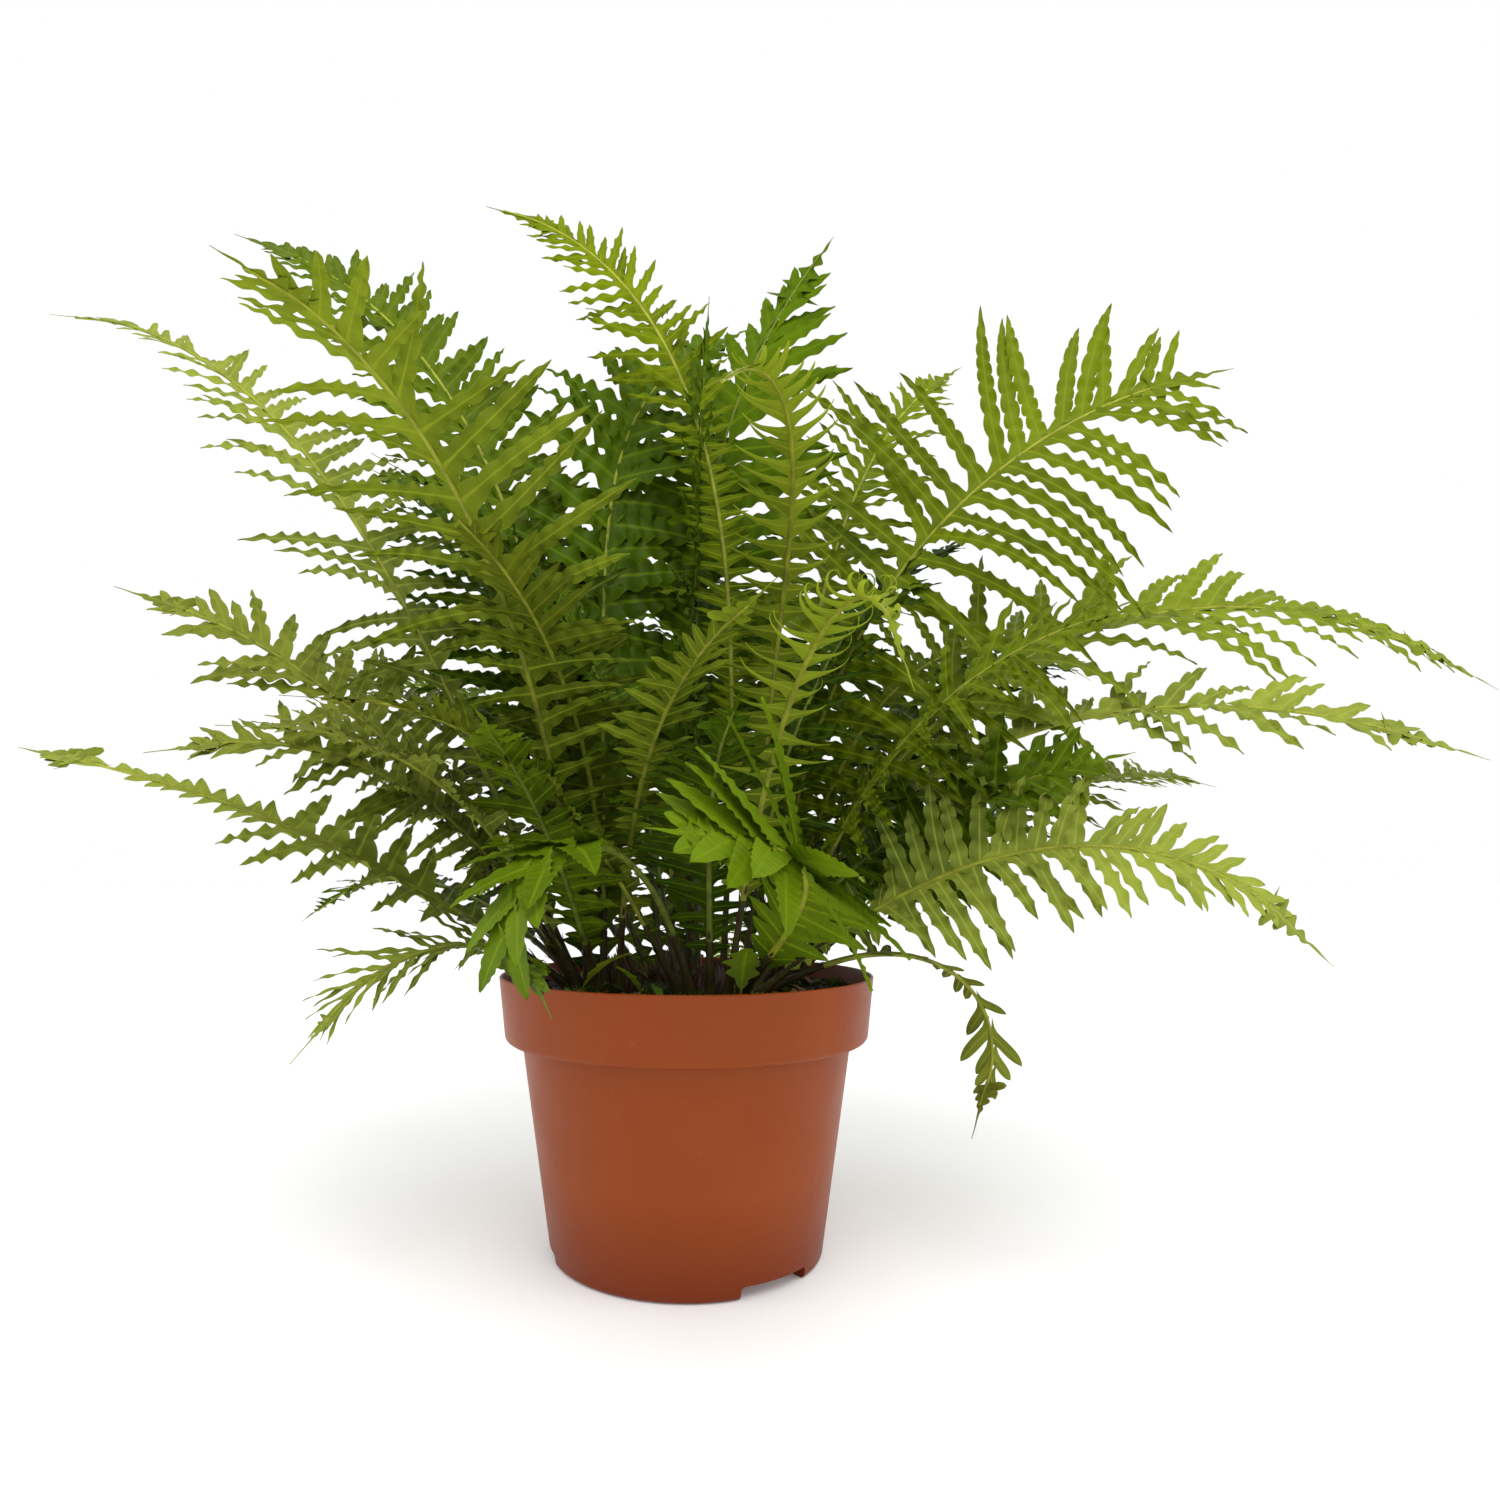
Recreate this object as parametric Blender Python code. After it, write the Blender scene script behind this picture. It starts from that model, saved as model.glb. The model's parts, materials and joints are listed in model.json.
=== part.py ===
"""Potted hard fern: a plastic nursery pot, its soil, three crowns and the fronds that grow from them.

Metres, +Z up. The origin is the middle of the pot's flat base, on the surface that it stands on.
+X is the plant's right and -Y its front.
"""

import math
from collections import namedtuple

import bmesh
import bpy
from mathutils import Matrix, Vector
from mathutils.bvhtree import BVHTree

# The pot, a turned plastic shell with a tall band round its rim
RIM_RADIUS = 0.105
POT_HEIGHT = 0.147
BAND_HEIGHT = 0.0345
BAND_FLARE = 0.0042
NECK_RADIUS = 0.0918
FOOT_RADIUS = 0.0738
WALL = 0.0016
FOOT_ROUND = 0.0030
BAND_ROUND = 0.0034
RIM_ROUND = 0.0009
TURNED_SIDES = 48
ABOVE_RIM = 0.010
SHARP_ANGLE = 35.0

# Three drain pockets, raised into the base at its edge
POCKETS = 3
POCKET_FIRST_ANGLE = -53.0
POCKET_HEIGHT = 0.0065
POCKET_WIDTH = 0.042
POCKET_DEPTH = 0.017
POCKET_ROUND = 0.0022
POCKET_OVERRUN = 0.012
DRAIN_RADIUS = 0.0042
DRAIN_SIDES = 16

# The soil stops short of the rim to leave room for watering
CLEARANCE = 0.0003
SOIL_BELOW_RIM = 0.011
SOIL_MOUND = 0.0015
SOIL_SHOULDER = 0.85

# The crowns: scaly knobs of rhizome, half in the soil, with a ring of stems round each
CROWN_RADIUS = 0.0125
CROWN_HEIGHT = 0.015
CROWN_SIDES = 12
CROWN_RINGS = 4
CROWNS = {
    "left": (-0.040, -0.006),
    "front": (0.014, -0.036),
    "right": (0.037, 0.018),
    "back": (-0.008, 0.040),
}
STEM_RING_INNER = 0.0160
STEM_RING_OUTER = 0.0300

# A frond: a tapering rib, bare at the foot, with a row of leaflets down each side
STEM_HALF_WIDTH = 0.0015
TIP_HALF_WIDTH = 0.0007
BARE_SHARE = 0.20
BARE_STEPS = 4
LEAFLET_SPACING = 0.026
TIP_LENGTH = 0.030
LEAFLET_ANGLE_AT_FOOT = 82.0
LEAFLET_ANGLE_AT_TIP = 48.0
LEAFLET_LIFT = 10.0
FOOT_LEAFLET = 0.38
LEAFLET_GROWTH = 2.4
LEAFLET_TAPER = 3.0
SWEEP_BEND = 1.5
WALK_STEPS = 60
ROLL_SHARE = 0.4

# Keeping the pieces apart
LEAN_STEP = 2.0
LEAN_TRIES = 14
STEM_SHIFTS = (0.0, 0.0045, -0.0035, 0.009, 0.0135)
SHORTER = (1.0, 0.85, 0.7, 0.55, 0.4, 0.25)
SPACE_ROUND_LEAFLET = 0.0006
SPACE_ROUND_STEM = 0.0007
SPACE_BEYOND_LEAFLET = 0.0024

# Each frond in the order it takes its space, the front and outer ones first.
# azimuth, rise, droop, sweep and roll in degrees; length and leaflet in metres.
# rise is the stem's slope at the crown, droop how far that slope falls by the tip and bend how late it falls;
# sweep is how far the frond swings round by its tip, and roll how far its face tips to one side.
Frond = namedtuple("Frond", "crown azimuth rise droop length sweep bend leaflet roll")
FRONDS = [
    # left side, from the near one that arches over to the lowest
    Frond("left", -126, 74, 90, 0.41, 15, 2.50, 0.095, 0),
    Frond("left", 180, 65, 60, 0.57, -10, 3.00, 0.075, -30),
    Frond("left", 160, 84, 62, 0.62, 5, 1.75, 0.060, -45),
    Frond("left", -172, 55, 42, 0.33, -10, 2.00, 0.060, -40),
    Frond("left", -158, 57, 75, 0.26, -15, 1.75, 0.055, -35),
    Frond("left", -174, 35, 25, 0.35, -10, 1.00, 0.052, -30),
    Frond("left", -150, 45, 105, 0.155, 5, 1.00, 0.035, -20),
    Frond("front", -125, 65, 220, 0.21, -15, 2.00, 0.065, 0),
    Frond("left", -116, 92, 80, 0.285, -5, 1.20, 0.056, 0),
    Frond("left", -122, 60, 35, 0.18, 5, 1.50, 0.045, 0),
    # the tall ones in the middle and at the top
    Frond("right", 165, 93, 72, 0.59, 0, 2.50, 0.055, -60),
    Frond("back", 50, 92, 40, 0.52, -60, 2.00, 0.075, 60),
    Frond("left", 118, 87, 60, 0.53, -100, 2.50, 0.085, 40),
    Frond("right", -63, 92, 138, 0.44, -60, 1.80, 0.050, 0),
    Frond("front", -69, 68, 133, 0.318, -19, 2.20, 0.040, 0),
    # right side, from the top down
    Frond("right", -22, 87, 77, 0.48, 25, 1.25, 0.125, 70),
    Frond("right", 0, 70, 108, 0.53, -5, 1.25, 0.070, 40),
    Frond("right", -15, 84, 110, 0.42, 0, 0.70, 0.060, 35),
    Frond("right", 15, 37, 50, 0.37, 10, 2.00, 0.048, 25),
    Frond("front", -20, 37, 95, 0.29, 10, 2.00, 0.060, 50),
    Frond("front", -8, 27, 172, 0.191, 50, 1.80, 0.035, 20),
    Frond("front", -60, 42, 42, 0.20, -110, 1.20, 0.060, -50),
    Frond("left", -80, 72, 50, 0.24, 40, 1.50, 0.040, 0),
    Frond("back", -20, 91, 5, 0.43, 0, 1.50, 0.055, 0),
    Frond("right", 10, 76, 110, 0.36, 5, 2.00, 0.060, 45),
    Frond("right", -28, 50, 45, 0.22, 0, 1.75, 0.060, 50),
    # between the others, inside the plant
    Frond("right", 38, 82, 50, 0.52, 0, 2.00, 0.070, 40),
    Frond("left", 150, 75, 50, 0.44, 0, 2.00, 0.070, -20),
    Frond("right", -50, 62, 60, 0.29, 15, 1.75, 0.060, 40),
    Frond("front", 0, 55, 80, 0.21, 15, 1.75, 0.050, 30),
    Frond("right", 22, 64, 70, 0.37, 0, 1.75, 0.060, 25),
    Frond("left", -142, 62, 75, 0.235, 0, 1.75, 0.056, -20),
    Frond("front", -150, 62, 70, 0.25, -10, 1.75, 0.050, -15),
    Frond("front", -95, 76, 55, 0.17, 20, 1.50, 0.040, 0),
    Frond("back", 175, 60, 60, 0.34, 0, 1.75, 0.060, -20),
    Frond("front", 178, 80, 60, 0.34, 20, 2.00, 0.055, -20),
    Frond("front", 25, 80, 60, 0.32, -20, 2.00, 0.055, 20),
    # the back, from the tall ones down
    Frond("back", 68, 74, 80, 0.48, 10, 1.75, 0.070, 0),
    Frond("back", 115, 76, 80, 0.48, -10, 1.75, 0.070, 0),
    Frond("back", 92, 62, 85, 0.41, 10, 1.50, 0.070, 0),
    Frond("back", 142, 64, 80, 0.42, 0, 1.50, 0.070, 0),
    Frond("right", 45, 48, 70, 0.40, 10, 1.50, 0.062, 0),
    Frond("left", 150, 36, 70, 0.25, 0, 1.50, 0.055, 0),
    Frond("right", 70, 36, 80, 0.36, -10, 1.50, 0.055, 0),
    Frond("back", 120, 38, 80, 0.34, 10, 1.50, 0.055, 0),
    Frond("back", 80, 24, 75, 0.27, 0, 1.25, 0.042, 0),
]

# Small first leaves that stand by themselves in the soil: foot x and y, azimuth, rise, length and width
Sprout = namedtuple("Sprout", "x y azimuth rise length width")
SPROUTS = [
    Sprout(-0.058, -0.066, -12, 38, 0.040, 0.016),
    Sprout(-0.018, -0.084, -160, 50, 0.026, 0.012),
    Sprout(0.026, -0.078, 70, 62, 0.030, 0.013),
    Sprout(-0.075, -0.030, -120, 48, 0.028, 0.012),
]
SPROUT_THICKNESS = 0.0010
SPROUT_WIDEST = 0.45


def clear_scene():
    """Removes what Blender opens with, so that only the plant is left."""
    for thing in list(bpy.data.objects):
        bpy.data.objects.remove(thing, do_unlink=True)


def material(name, colour, roughness, metallic=0.0):
    """A plain Principled material."""
    made = bpy.data.materials.new(name)
    made.use_nodes = True
    shader = made.node_tree.nodes["Principled BSDF"]
    shader.inputs["Base Color"].default_value = (*colour, 1.0)
    shader.inputs["Roughness"].default_value = roughness
    shader.inputs["Metallic"].default_value = metallic
    return made


def place(name, mesh, finish=None, parent=None):
    """Puts a mesh into the scene as a named object."""
    thing = bpy.data.objects.new(name, mesh)
    bpy.context.scene.collection.objects.link(thing)
    thing.parent = parent
    if finish:
        mesh.materials.append(finish)
    return thing


def helper(name, mesh):
    """A cutting shape, kept out of the model itself."""
    thing = place(name, mesh)
    thing.hide_render = True
    thing.display_type = "WIRE"
    return thing


def cut(thing, cutter):
    """Takes the cutter's shape out of the thing."""
    modifier = thing.modifiers.new("cut_" + cutter.name, "BOOLEAN")
    modifier.operation = "DIFFERENCE"
    modifier.solver = "EXACT"
    modifier.object = cutter


def finish_mesh(name, shape, smooth=True):
    """Turns a bmesh into a mesh with its faces pointing out."""
    bmesh.ops.recalc_face_normals(shape, faces=shape.faces)
    mesh = bpy.data.meshes.new(name)
    shape.to_mesh(mesh)
    shape.free()
    if smooth:
        mesh.shade_smooth()
        mesh.set_sharp_from_angle(angle=math.radians(SHARP_ANGLE))
    return mesh


def closed_mesh(name, corners, faces):
    """A flat-faced solid from its corners and faces."""
    shape = bmesh.new()
    made = [shape.verts.new(corner) for corner in corners]
    for face in faces:
        shape.faces.new([made[corner] for corner in face])
    return finish_mesh(name, shape, smooth=False)


def turned(name, profile, sides=TURNED_SIDES):
    """Spins an outline of (radius, height) points, which starts and ends on the axis, into a solid."""
    shape = bmesh.new()
    corners = [shape.verts.new((radius, 0.0, height)) for radius, height in profile]
    edges = [shape.edges.new(pair) for pair in zip(corners, corners[1:])]
    bmesh.ops.spin(
        shape,
        geom=corners + edges,
        cent=(0, 0, 0),
        axis=(0, 0, 1),
        angle=math.tau,
        steps=sides,
        use_merge=True,
    )
    bmesh.ops.remove_doubles(shape, verts=shape.verts, dist=1e-6)
    return finish_mesh(name, shape)


def round_corner(before, corner, after, radius, steps=3):
    """Points of an arc that rounds off one corner of an outline."""
    corner = Vector(corner)
    to_before = (Vector(before) - corner).normalized()
    to_after = (Vector(after) - corner).normalized()
    half = to_before.angle(to_after) / 2
    reach = radius / math.tan(half)
    centre = corner + (to_before + to_after).normalized() * radius / math.sin(half)
    start = corner + to_before * reach - centre
    end = corner + to_after * reach - centre
    swing = start.angle_signed(end)
    turn = [Matrix.Rotation(-swing * step / steps, 2) for step in range(steps + 1)]
    return [tuple(centre + spin @ start) for spin in turn]


def pot_outline(inset=0.0):
    """The pot's outer outline up to the rim, or the same shape moved in by inset."""
    band_foot = POT_HEIGHT - BAND_HEIGHT
    foot = (FOOT_RADIUS - inset, inset)
    neck = (NECK_RADIUS - inset, band_foot + inset)
    band = (RIM_RADIUS - BAND_FLARE - inset, band_foot + inset)
    rim = (RIM_RADIUS - inset, POT_HEIGHT)
    points = [(0.0, inset)]
    points += round_corner((0.0, inset), foot, neck, FOOT_ROUND)
    points.append(neck)
    points += round_corner(neck, band, rim, BAND_ROUND)
    return points, rim


def pocket_shape(name, spare):
    """The space of one drain pocket, grown by spare, with its upper corners rounded."""
    inner = FOOT_RADIUS - POCKET_DEPTH - spare
    outer = FOOT_RADIUS + POCKET_OVERRUN
    half = POCKET_WIDTH / 2 + spare
    top = POCKET_HEIGHT + spare
    below = -POCKET_OVERRUN
    outline = [(-half, below)]
    outline += round_corner((-half, below), (-half, top), (half, top), POCKET_ROUND)
    outline += round_corner((-half, top), (half, top), (half, below), POCKET_ROUND)
    outline.append((half, below))
    shape = bmesh.new()
    face = shape.faces.new([shape.verts.new((inner, y, z)) for y, z in outline])
    pushed = bmesh.ops.extrude_face_region(shape, geom=[face])
    corners = [part for part in pushed["geom"] if isinstance(part, bmesh.types.BMVert)]
    bmesh.ops.translate(shape, verts=corners, vec=(outer - inner, 0, 0))
    return finish_mesh(name, shape, smooth=False)


def pocket_angles():
    """Where the pockets stand round the base."""
    return [math.radians(POCKET_FIRST_ANGLE + 360 / POCKETS * number) for number in range(POCKETS)]


def cut_pockets(thing, label, spare):
    """Takes every drain pocket, grown by spare, out of a shape."""
    mesh = pocket_shape("pocket_" + label, spare)
    for number, angle in enumerate(pocket_angles()):
        cutter = helper(f"pocket_{label}_{number + 1}", mesh)
        cutter.rotation_euler.z = angle
        cut(thing, cutter)


def make_pot(parent):
    """The shell: its outer form less its inner form, both stepped up over the drain pockets."""
    points, rim = pot_outline()
    points += round_corner(points[-1], rim, (0.0, POT_HEIGHT), RIM_ROUND, steps=2)
    points.append((0.0, POT_HEIGHT))
    plastic = material("terracotta_plastic", (0.30, 0.075, 0.025), 0.4)
    pot = place("pot", turned("pot", points), plastic, parent)
    cut_pockets(pot, "outside", 0.0)
    points, rim = pot_outline(WALL)
    points += [rim, (rim[0], POT_HEIGHT + ABOVE_RIM), (0.0, POT_HEIGHT + ABOVE_RIM)]
    inside = helper("pot_inside", turned("pot_inside", points))
    cut_pockets(inside, "inside", WALL)
    cut(pot, inside)
    for number, angle in enumerate(pocket_angles()):
        shape = bmesh.new()
        bmesh.ops.create_cone(
            shape,
            cap_ends=True,
            segments=DRAIN_SIDES,
            radius1=DRAIN_RADIUS,
            radius2=DRAIN_RADIUS,
            depth=POCKET_HEIGHT,
        )
        drain = helper(f"drain_{number + 1}", finish_mesh("drain", shape, smooth=False))
        out = FOOT_RADIUS - POCKET_DEPTH / 2
        drain.location = (out * math.cos(angle), out * math.sin(angle), POCKET_HEIGHT + WALL / 2)
        cut(pot, drain)
    return pot


def soil_top():
    """Height of the soil's surface where it meets the pot."""
    return POT_HEIGHT - SOIL_BELOW_RIM


def make_soil(parent):
    """The root ball, which fills the pot to just below its rim and mounds up a little in the middle."""
    points, rim = pot_outline(WALL + CLEARANCE)
    level = soil_top()
    band = points[-1]
    share = (level - band[1]) / (rim[1] - band[1])
    edge = band[0] + (rim[0] - band[0]) * share
    points += [(edge, level), (edge * SOIL_SHOULDER, level + SOIL_MOUND), (0.0, level + SOIL_MOUND)]
    soil = place("soil", turned("soil", points), material("peat", (0.030, 0.018, 0.012), 0.95), parent)
    cut_pockets(soil, "under_soil", WALL + CLEARANCE)
    return soil


def make_crown(label, parent):
    """One knob of rhizome: a dome that narrows to its growing point."""
    x, y = CROWNS[label]
    outline = [(0.0, 0.0), (CROWN_RADIUS, 0.0)]
    for ring in range(1, CROWN_RINGS):
        turn = math.pi / 2 * ring / CROWN_RINGS
        outline.append((CROWN_RADIUS * math.cos(turn), CROWN_HEIGHT * math.sin(turn)))
    outline.append((0.0, CROWN_HEIGHT))
    mesh = turned("crown_" + label, outline, CROWN_SIDES)
    crown = place("crown_" + label, mesh, material("crown_scales", (0.05, 0.025, 0.012), 0.9), parent)
    crown.location = (x, y, soil_top() + SOIL_MOUND + CLEARANCE)
    return crown


def frond_place(frond, lean, shift):
    """Where a frond stands: on the ring round its crown, leaned round from its azimuth and shifted out."""
    turn = math.radians(frond.azimuth + lean)
    flat = 1.0 - max(0.0, min(frond.rise, 90.0)) / 90.0
    out = STEM_RING_INNER + (STEM_RING_OUTER - STEM_RING_INNER) * flat + shift
    x, y = CROWNS[frond.crown]
    height = soil_top() + SOIL_MOUND + CLEARANCE + STEM_HALF_WIDTH + SPACE_ROUND_STEM
    spot = Vector((x + out * math.cos(turn), y + out * math.sin(turn), height))
    return Matrix.Translation(spot) @ Matrix.Rotation(turn, 4, "Z")


def rib_path(frond):
    """Walks up the rib, and gives points with their along, across and upper-face directions."""
    path = []
    point = Vector((0.0, 0.0, 0.0))
    step = frond.length / WALK_STEPS
    for number in range(WALK_STEPS + 1):
        share = number / WALK_STEPS
        turn = math.radians(frond.sweep * share**SWEEP_BEND)
        slope = math.radians(frond.rise - frond.droop * share**frond.bend)
        along = Vector((math.cos(slope) * math.cos(turn), math.cos(slope) * math.sin(turn), math.sin(slope)))
        across = Vector((-math.sin(turn), math.cos(turn), 0.0))
        across.rotate(Matrix.Rotation(math.radians(frond.roll * min(1.0, share / ROLL_SHARE)), 3, along))
        path.append((point.copy(), along, across, along.cross(across)))
        point += along * step
    return path


def stations(frond):
    """Shares of the rib's length where its rings go: some along the bare foot, then one a leaflet."""
    blade = frond.length * (1 - BARE_SHARE) - TIP_LENGTH
    pairs = max(3, round(blade / LEAFLET_SPACING))
    bare = [BARE_SHARE * step / BARE_STEPS for step in range(BARE_STEPS)]
    end = 1 - TIP_LENGTH / frond.length
    leafy = [BARE_SHARE + (end - BARE_SHARE) * step / pairs for step in range(pairs + 1)]
    return bare + leafy


def at_share(path, share):
    """The rib's point and directions at a share of its length."""
    place_on_path = share * (len(path) - 1)
    low = min(int(place_on_path), len(path) - 2)
    part = place_on_path - low
    return [one.lerp(two, part) for one, two in zip(path[low], path[low + 1])]


def rib_rings(frond, spare=0.0):
    """The rib's rings and its tip. A ring is its right top, right bottom, left bottom and left top corner."""
    path = rib_path(frond)
    rings = []
    for share in stations(frond):
        point, _, across, up = at_share(path, share)
        half = STEM_HALF_WIDTH + (TIP_HALF_WIDTH - STEM_HALF_WIDTH) * share + spare
        right = -across * half
        rise = up * half
        rings.append([point + right + rise, point + right - rise, point - right - rise, point - right + rise])
    tip = path[-1][0] + path[-1][1] * spare
    return rings, tip


def leaflet_tip(path, share, blade_share, side, reach):
    """Where the point of a leaflet is: out from the rib, forward and a little up."""
    point, along, across, up = at_share(path, share)
    narrowing = LEAFLET_ANGLE_AT_TIP - LEAFLET_ANGLE_AT_FOOT
    forward = math.radians(LEAFLET_ANGLE_AT_FOOT + narrowing * blade_share)
    lift = math.radians(LEAFLET_LIFT)
    out = across * side * math.sin(forward) + along * math.cos(forward)
    return point + (out * math.cos(lift) + up * math.sin(lift)) * reach


def leaflet_length(frond, blade_share):
    """Leaflets are longest near the middle of the blade and shrink to nothing at its tip."""
    growing = min(1.0, FOOT_LEAFLET + LEAFLET_GROWTH * blade_share)
    return frond.leaflet * growing * (1 - blade_share**LEAFLET_TAPER)


class Space:
    """The room already taken, as small closed shapes with the frond that each belongs to."""

    def __init__(self):
        self.taken = []

    def entry(self, owner, corners, faces):
        """A shape with its box, for a quick first test."""
        low = Vector([min(corner[axis] for corner in corners) for axis in range(3)])
        high = Vector([max(corner[axis] for corner in corners) for axis in range(3)])
        return owner, low, high, BVHTree.FromPolygons(corners, faces)

    def add(self, entry):
        """Takes the room of a shape."""
        self.taken.append(entry)

    def free(self, entry):
        """Whether a shape clears everything that isn't its own frond's."""
        owner, low, high, tree = entry
        for other, other_low, other_high, other_tree in self.taken:
            if other == owner:
                continue
            if any(low[axis] > other_high[axis] or other_low[axis] > high[axis] for axis in range(3)):
                continue
            if tree.overlap(other_tree):
                return False
        return True


def tube_faces(count, tip):
    """Faces of a closed tube of four-cornered rings that ends in a point."""
    faces = [(3, 2, 1, 0)]
    for ring in range(count - 1):
        low = ring * 4
        for corner in range(4):
            following = (corner + 1) % 4
            faces.append((low + corner, low + following, low + 4 + following, low + 4 + corner))
    last = (count - 1) * 4
    faces += [(last + corner, last + (corner + 1) % 4, tip) for corner in range(4)]
    return faces


def stem_entry(space, owner, frond, where):
    """The room that a frond's rib needs."""
    rings, tip = rib_rings(frond, SPACE_ROUND_STEM)
    corners = [where @ corner for ring in rings for corner in ring] + [where @ tip]
    return space.entry(owner, corners, tube_faces(len(rings), len(corners) - 1))


def stand_stems(space):
    """Stands each rib on its crown, leaning it round a little where it would touch one that is there."""
    leans = [LEAN_STEP * ((attempt + 1) // 2) * (-1) ** attempt for attempt in range(LEAN_TRIES)]
    tries = [(lean, shift) for shift in STEM_SHIFTS for lean in leans]
    places = []
    for owner, frond in enumerate(FRONDS):
        for lean, shift in tries:
            where = frond_place(frond, lean, shift)
            entry = stem_entry(space, owner, frond, where)
            if space.free(entry):
                break
        space.add(entry)
        places.append(where)
    return places


def add_leaflet(space, owner, frond, where, path, blade_share, share, side, roomy_base):
    """Takes room for one leaflet, shorter where its full length would touch another, and gives its point."""
    full = leaflet_length(frond, blade_share)
    for part in SHORTER:
        point = leaflet_tip(path, share, blade_share, side, full * part)
        beyond = leaflet_tip(path, share, blade_share, side, full * part + SPACE_BEYOND_LEAFLET)
        solid = [where @ corner for corner in roomy_base + [beyond]]
        entry = space.entry(owner, solid, [(0, 1, 4), (1, 2, 4), (2, 3, 4), (3, 0, 4), (3, 2, 1, 0)])
        if space.free(entry):
            space.add(entry)
            return point
    return None


def grow_frond(space, owner, frond, where, finish, parent):
    """Makes one frond: the rib's tube with each side of each leafy step drawn out into a leaflet."""
    rings, tip = rib_rings(frond)
    roomy, _ = rib_rings(frond, SPACE_ROUND_LEAFLET)
    path = rib_path(frond)
    shares = stations(frond)
    corners = [corner for ring in rings for corner in ring] + [tip]
    faces = tube_faces(len(rings), len(corners) - 1)
    pairs = len(rings) - 1 - BARE_STEPS
    for number in range(pairs):
        step = BARE_STEPS + number
        low = step * 4
        blade_share = (number + 0.5) / pairs
        share = (shares[step] + shares[step + 1]) / 2
        for side, near, far in ((-1, 0, 1), (1, 2, 3)):
            base = (low + near, low + far, low + 4 + far, low + 4 + near)
            roomy_base = [roomy[step][near], roomy[step][far], roomy[step + 1][far], roomy[step + 1][near]]
            point = add_leaflet(space, owner, frond, where, path, blade_share, share, side, roomy_base)
            if point is None:
                continue
            apex = len(corners)
            corners.append(point)
            faces.remove(base)
            faces += [(base[turn], base[(turn + 1) % 4], apex) for turn in range(4)]
    name = f"frond_{owner + 1:02d}"
    thing = place(name, closed_mesh(name, corners, faces), finish, parent)
    thing.matrix_local = where


def make_sprout(number, sprout, finish, parent):
    """A small leaf on the soil: a flat pointed blade, thickest along its middle."""
    name = f"sprout_{number + 1}"
    half = sprout.width / 2
    thick = SPROUT_THICKNESS / 2
    middle = sprout.length * SPROUT_WIDEST
    corners = [(0, 0, 0), (sprout.length, 0, 0)]
    corners += [(middle, half, 0), (middle, -half, 0), (middle, 0, thick), (middle, 0, -thick)]
    faces = [(0, 4, 2), (0, 3, 4), (1, 2, 4), (1, 4, 3), (0, 2, 5), (0, 5, 3), (1, 5, 2), (1, 3, 5)]
    leaf = place(name, closed_mesh(name, corners, faces), finish, parent)
    height = soil_top() + SOIL_MOUND + CLEARANCE + SPROUT_THICKNESS
    leaf.location = (sprout.x, sprout.y, height)
    leaf.rotation_euler = (0, -math.radians(sprout.rise), math.radians(sprout.azimuth))
    return leaf


def built_shape(space, thing):
    """The room that an already modelled piece takes."""
    bpy.context.view_layer.update()
    seen = thing.evaluated_get(bpy.context.evaluated_depsgraph_get())
    mesh = seen.to_mesh()
    corners = [thing.matrix_world @ corner.co for corner in mesh.vertices]
    faces = [tuple(face.vertices) for face in mesh.polygons]
    seen.to_mesh_clear()
    return space.entry(thing.name, corners, faces)


def main():
    """Builds the whole plant under one empty."""
    clear_scene()
    fern = bpy.data.objects.new("potted_fern", None)
    bpy.context.scene.collection.objects.link(fern)
    space = Space()
    solid = [make_pot(fern), make_soil(fern)]
    solid += [make_crown(label, fern) for label in CROWNS]
    for thing in solid:
        space.add(built_shape(space, thing))
    leaf = material("fern_leaf", (0.10, 0.22, 0.03), 0.5)
    sprouts = [make_sprout(number, sprout, leaf, fern) for number, sprout in enumerate(SPROUTS)]
    for thing in sprouts:
        space.add(built_shape(space, thing))
    places = stand_stems(space)
    for owner, frond in enumerate(FRONDS):
        grow_frond(space, owner, frond, places[owner], leaf, fern)


main()
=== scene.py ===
import json
import math

import bpy
import numpy as np
from mathutils import Matrix, Vector, noise

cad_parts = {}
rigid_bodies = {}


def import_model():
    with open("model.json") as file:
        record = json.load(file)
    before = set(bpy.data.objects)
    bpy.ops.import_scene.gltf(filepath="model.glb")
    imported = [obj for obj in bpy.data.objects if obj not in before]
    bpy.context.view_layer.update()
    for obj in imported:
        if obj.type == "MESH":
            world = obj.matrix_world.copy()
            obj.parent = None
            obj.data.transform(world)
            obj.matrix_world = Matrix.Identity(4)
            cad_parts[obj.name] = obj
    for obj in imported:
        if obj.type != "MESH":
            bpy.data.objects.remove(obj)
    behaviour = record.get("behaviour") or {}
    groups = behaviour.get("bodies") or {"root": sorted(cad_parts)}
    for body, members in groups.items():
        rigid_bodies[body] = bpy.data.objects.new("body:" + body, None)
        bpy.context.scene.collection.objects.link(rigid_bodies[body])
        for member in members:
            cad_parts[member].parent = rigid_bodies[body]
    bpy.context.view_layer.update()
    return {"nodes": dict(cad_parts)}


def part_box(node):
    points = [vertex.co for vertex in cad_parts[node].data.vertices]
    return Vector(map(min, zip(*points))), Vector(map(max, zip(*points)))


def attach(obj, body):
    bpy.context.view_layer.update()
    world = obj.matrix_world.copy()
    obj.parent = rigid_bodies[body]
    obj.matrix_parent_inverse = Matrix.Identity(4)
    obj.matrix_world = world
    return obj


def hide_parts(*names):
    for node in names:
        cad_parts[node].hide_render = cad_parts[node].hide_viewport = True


for leftover in list(bpy.data.objects):
    bpy.data.objects.remove(leftover)
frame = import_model()


# --------------------------------------------------------------------------------------------------
# The pot: one thin shell of terracotta-coloured plastic, moulded in one shot, that tapers to its foot. A
# tall collar with soft edges stiffens the rim, and three pockets step up into the foot so that it drains.

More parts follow.
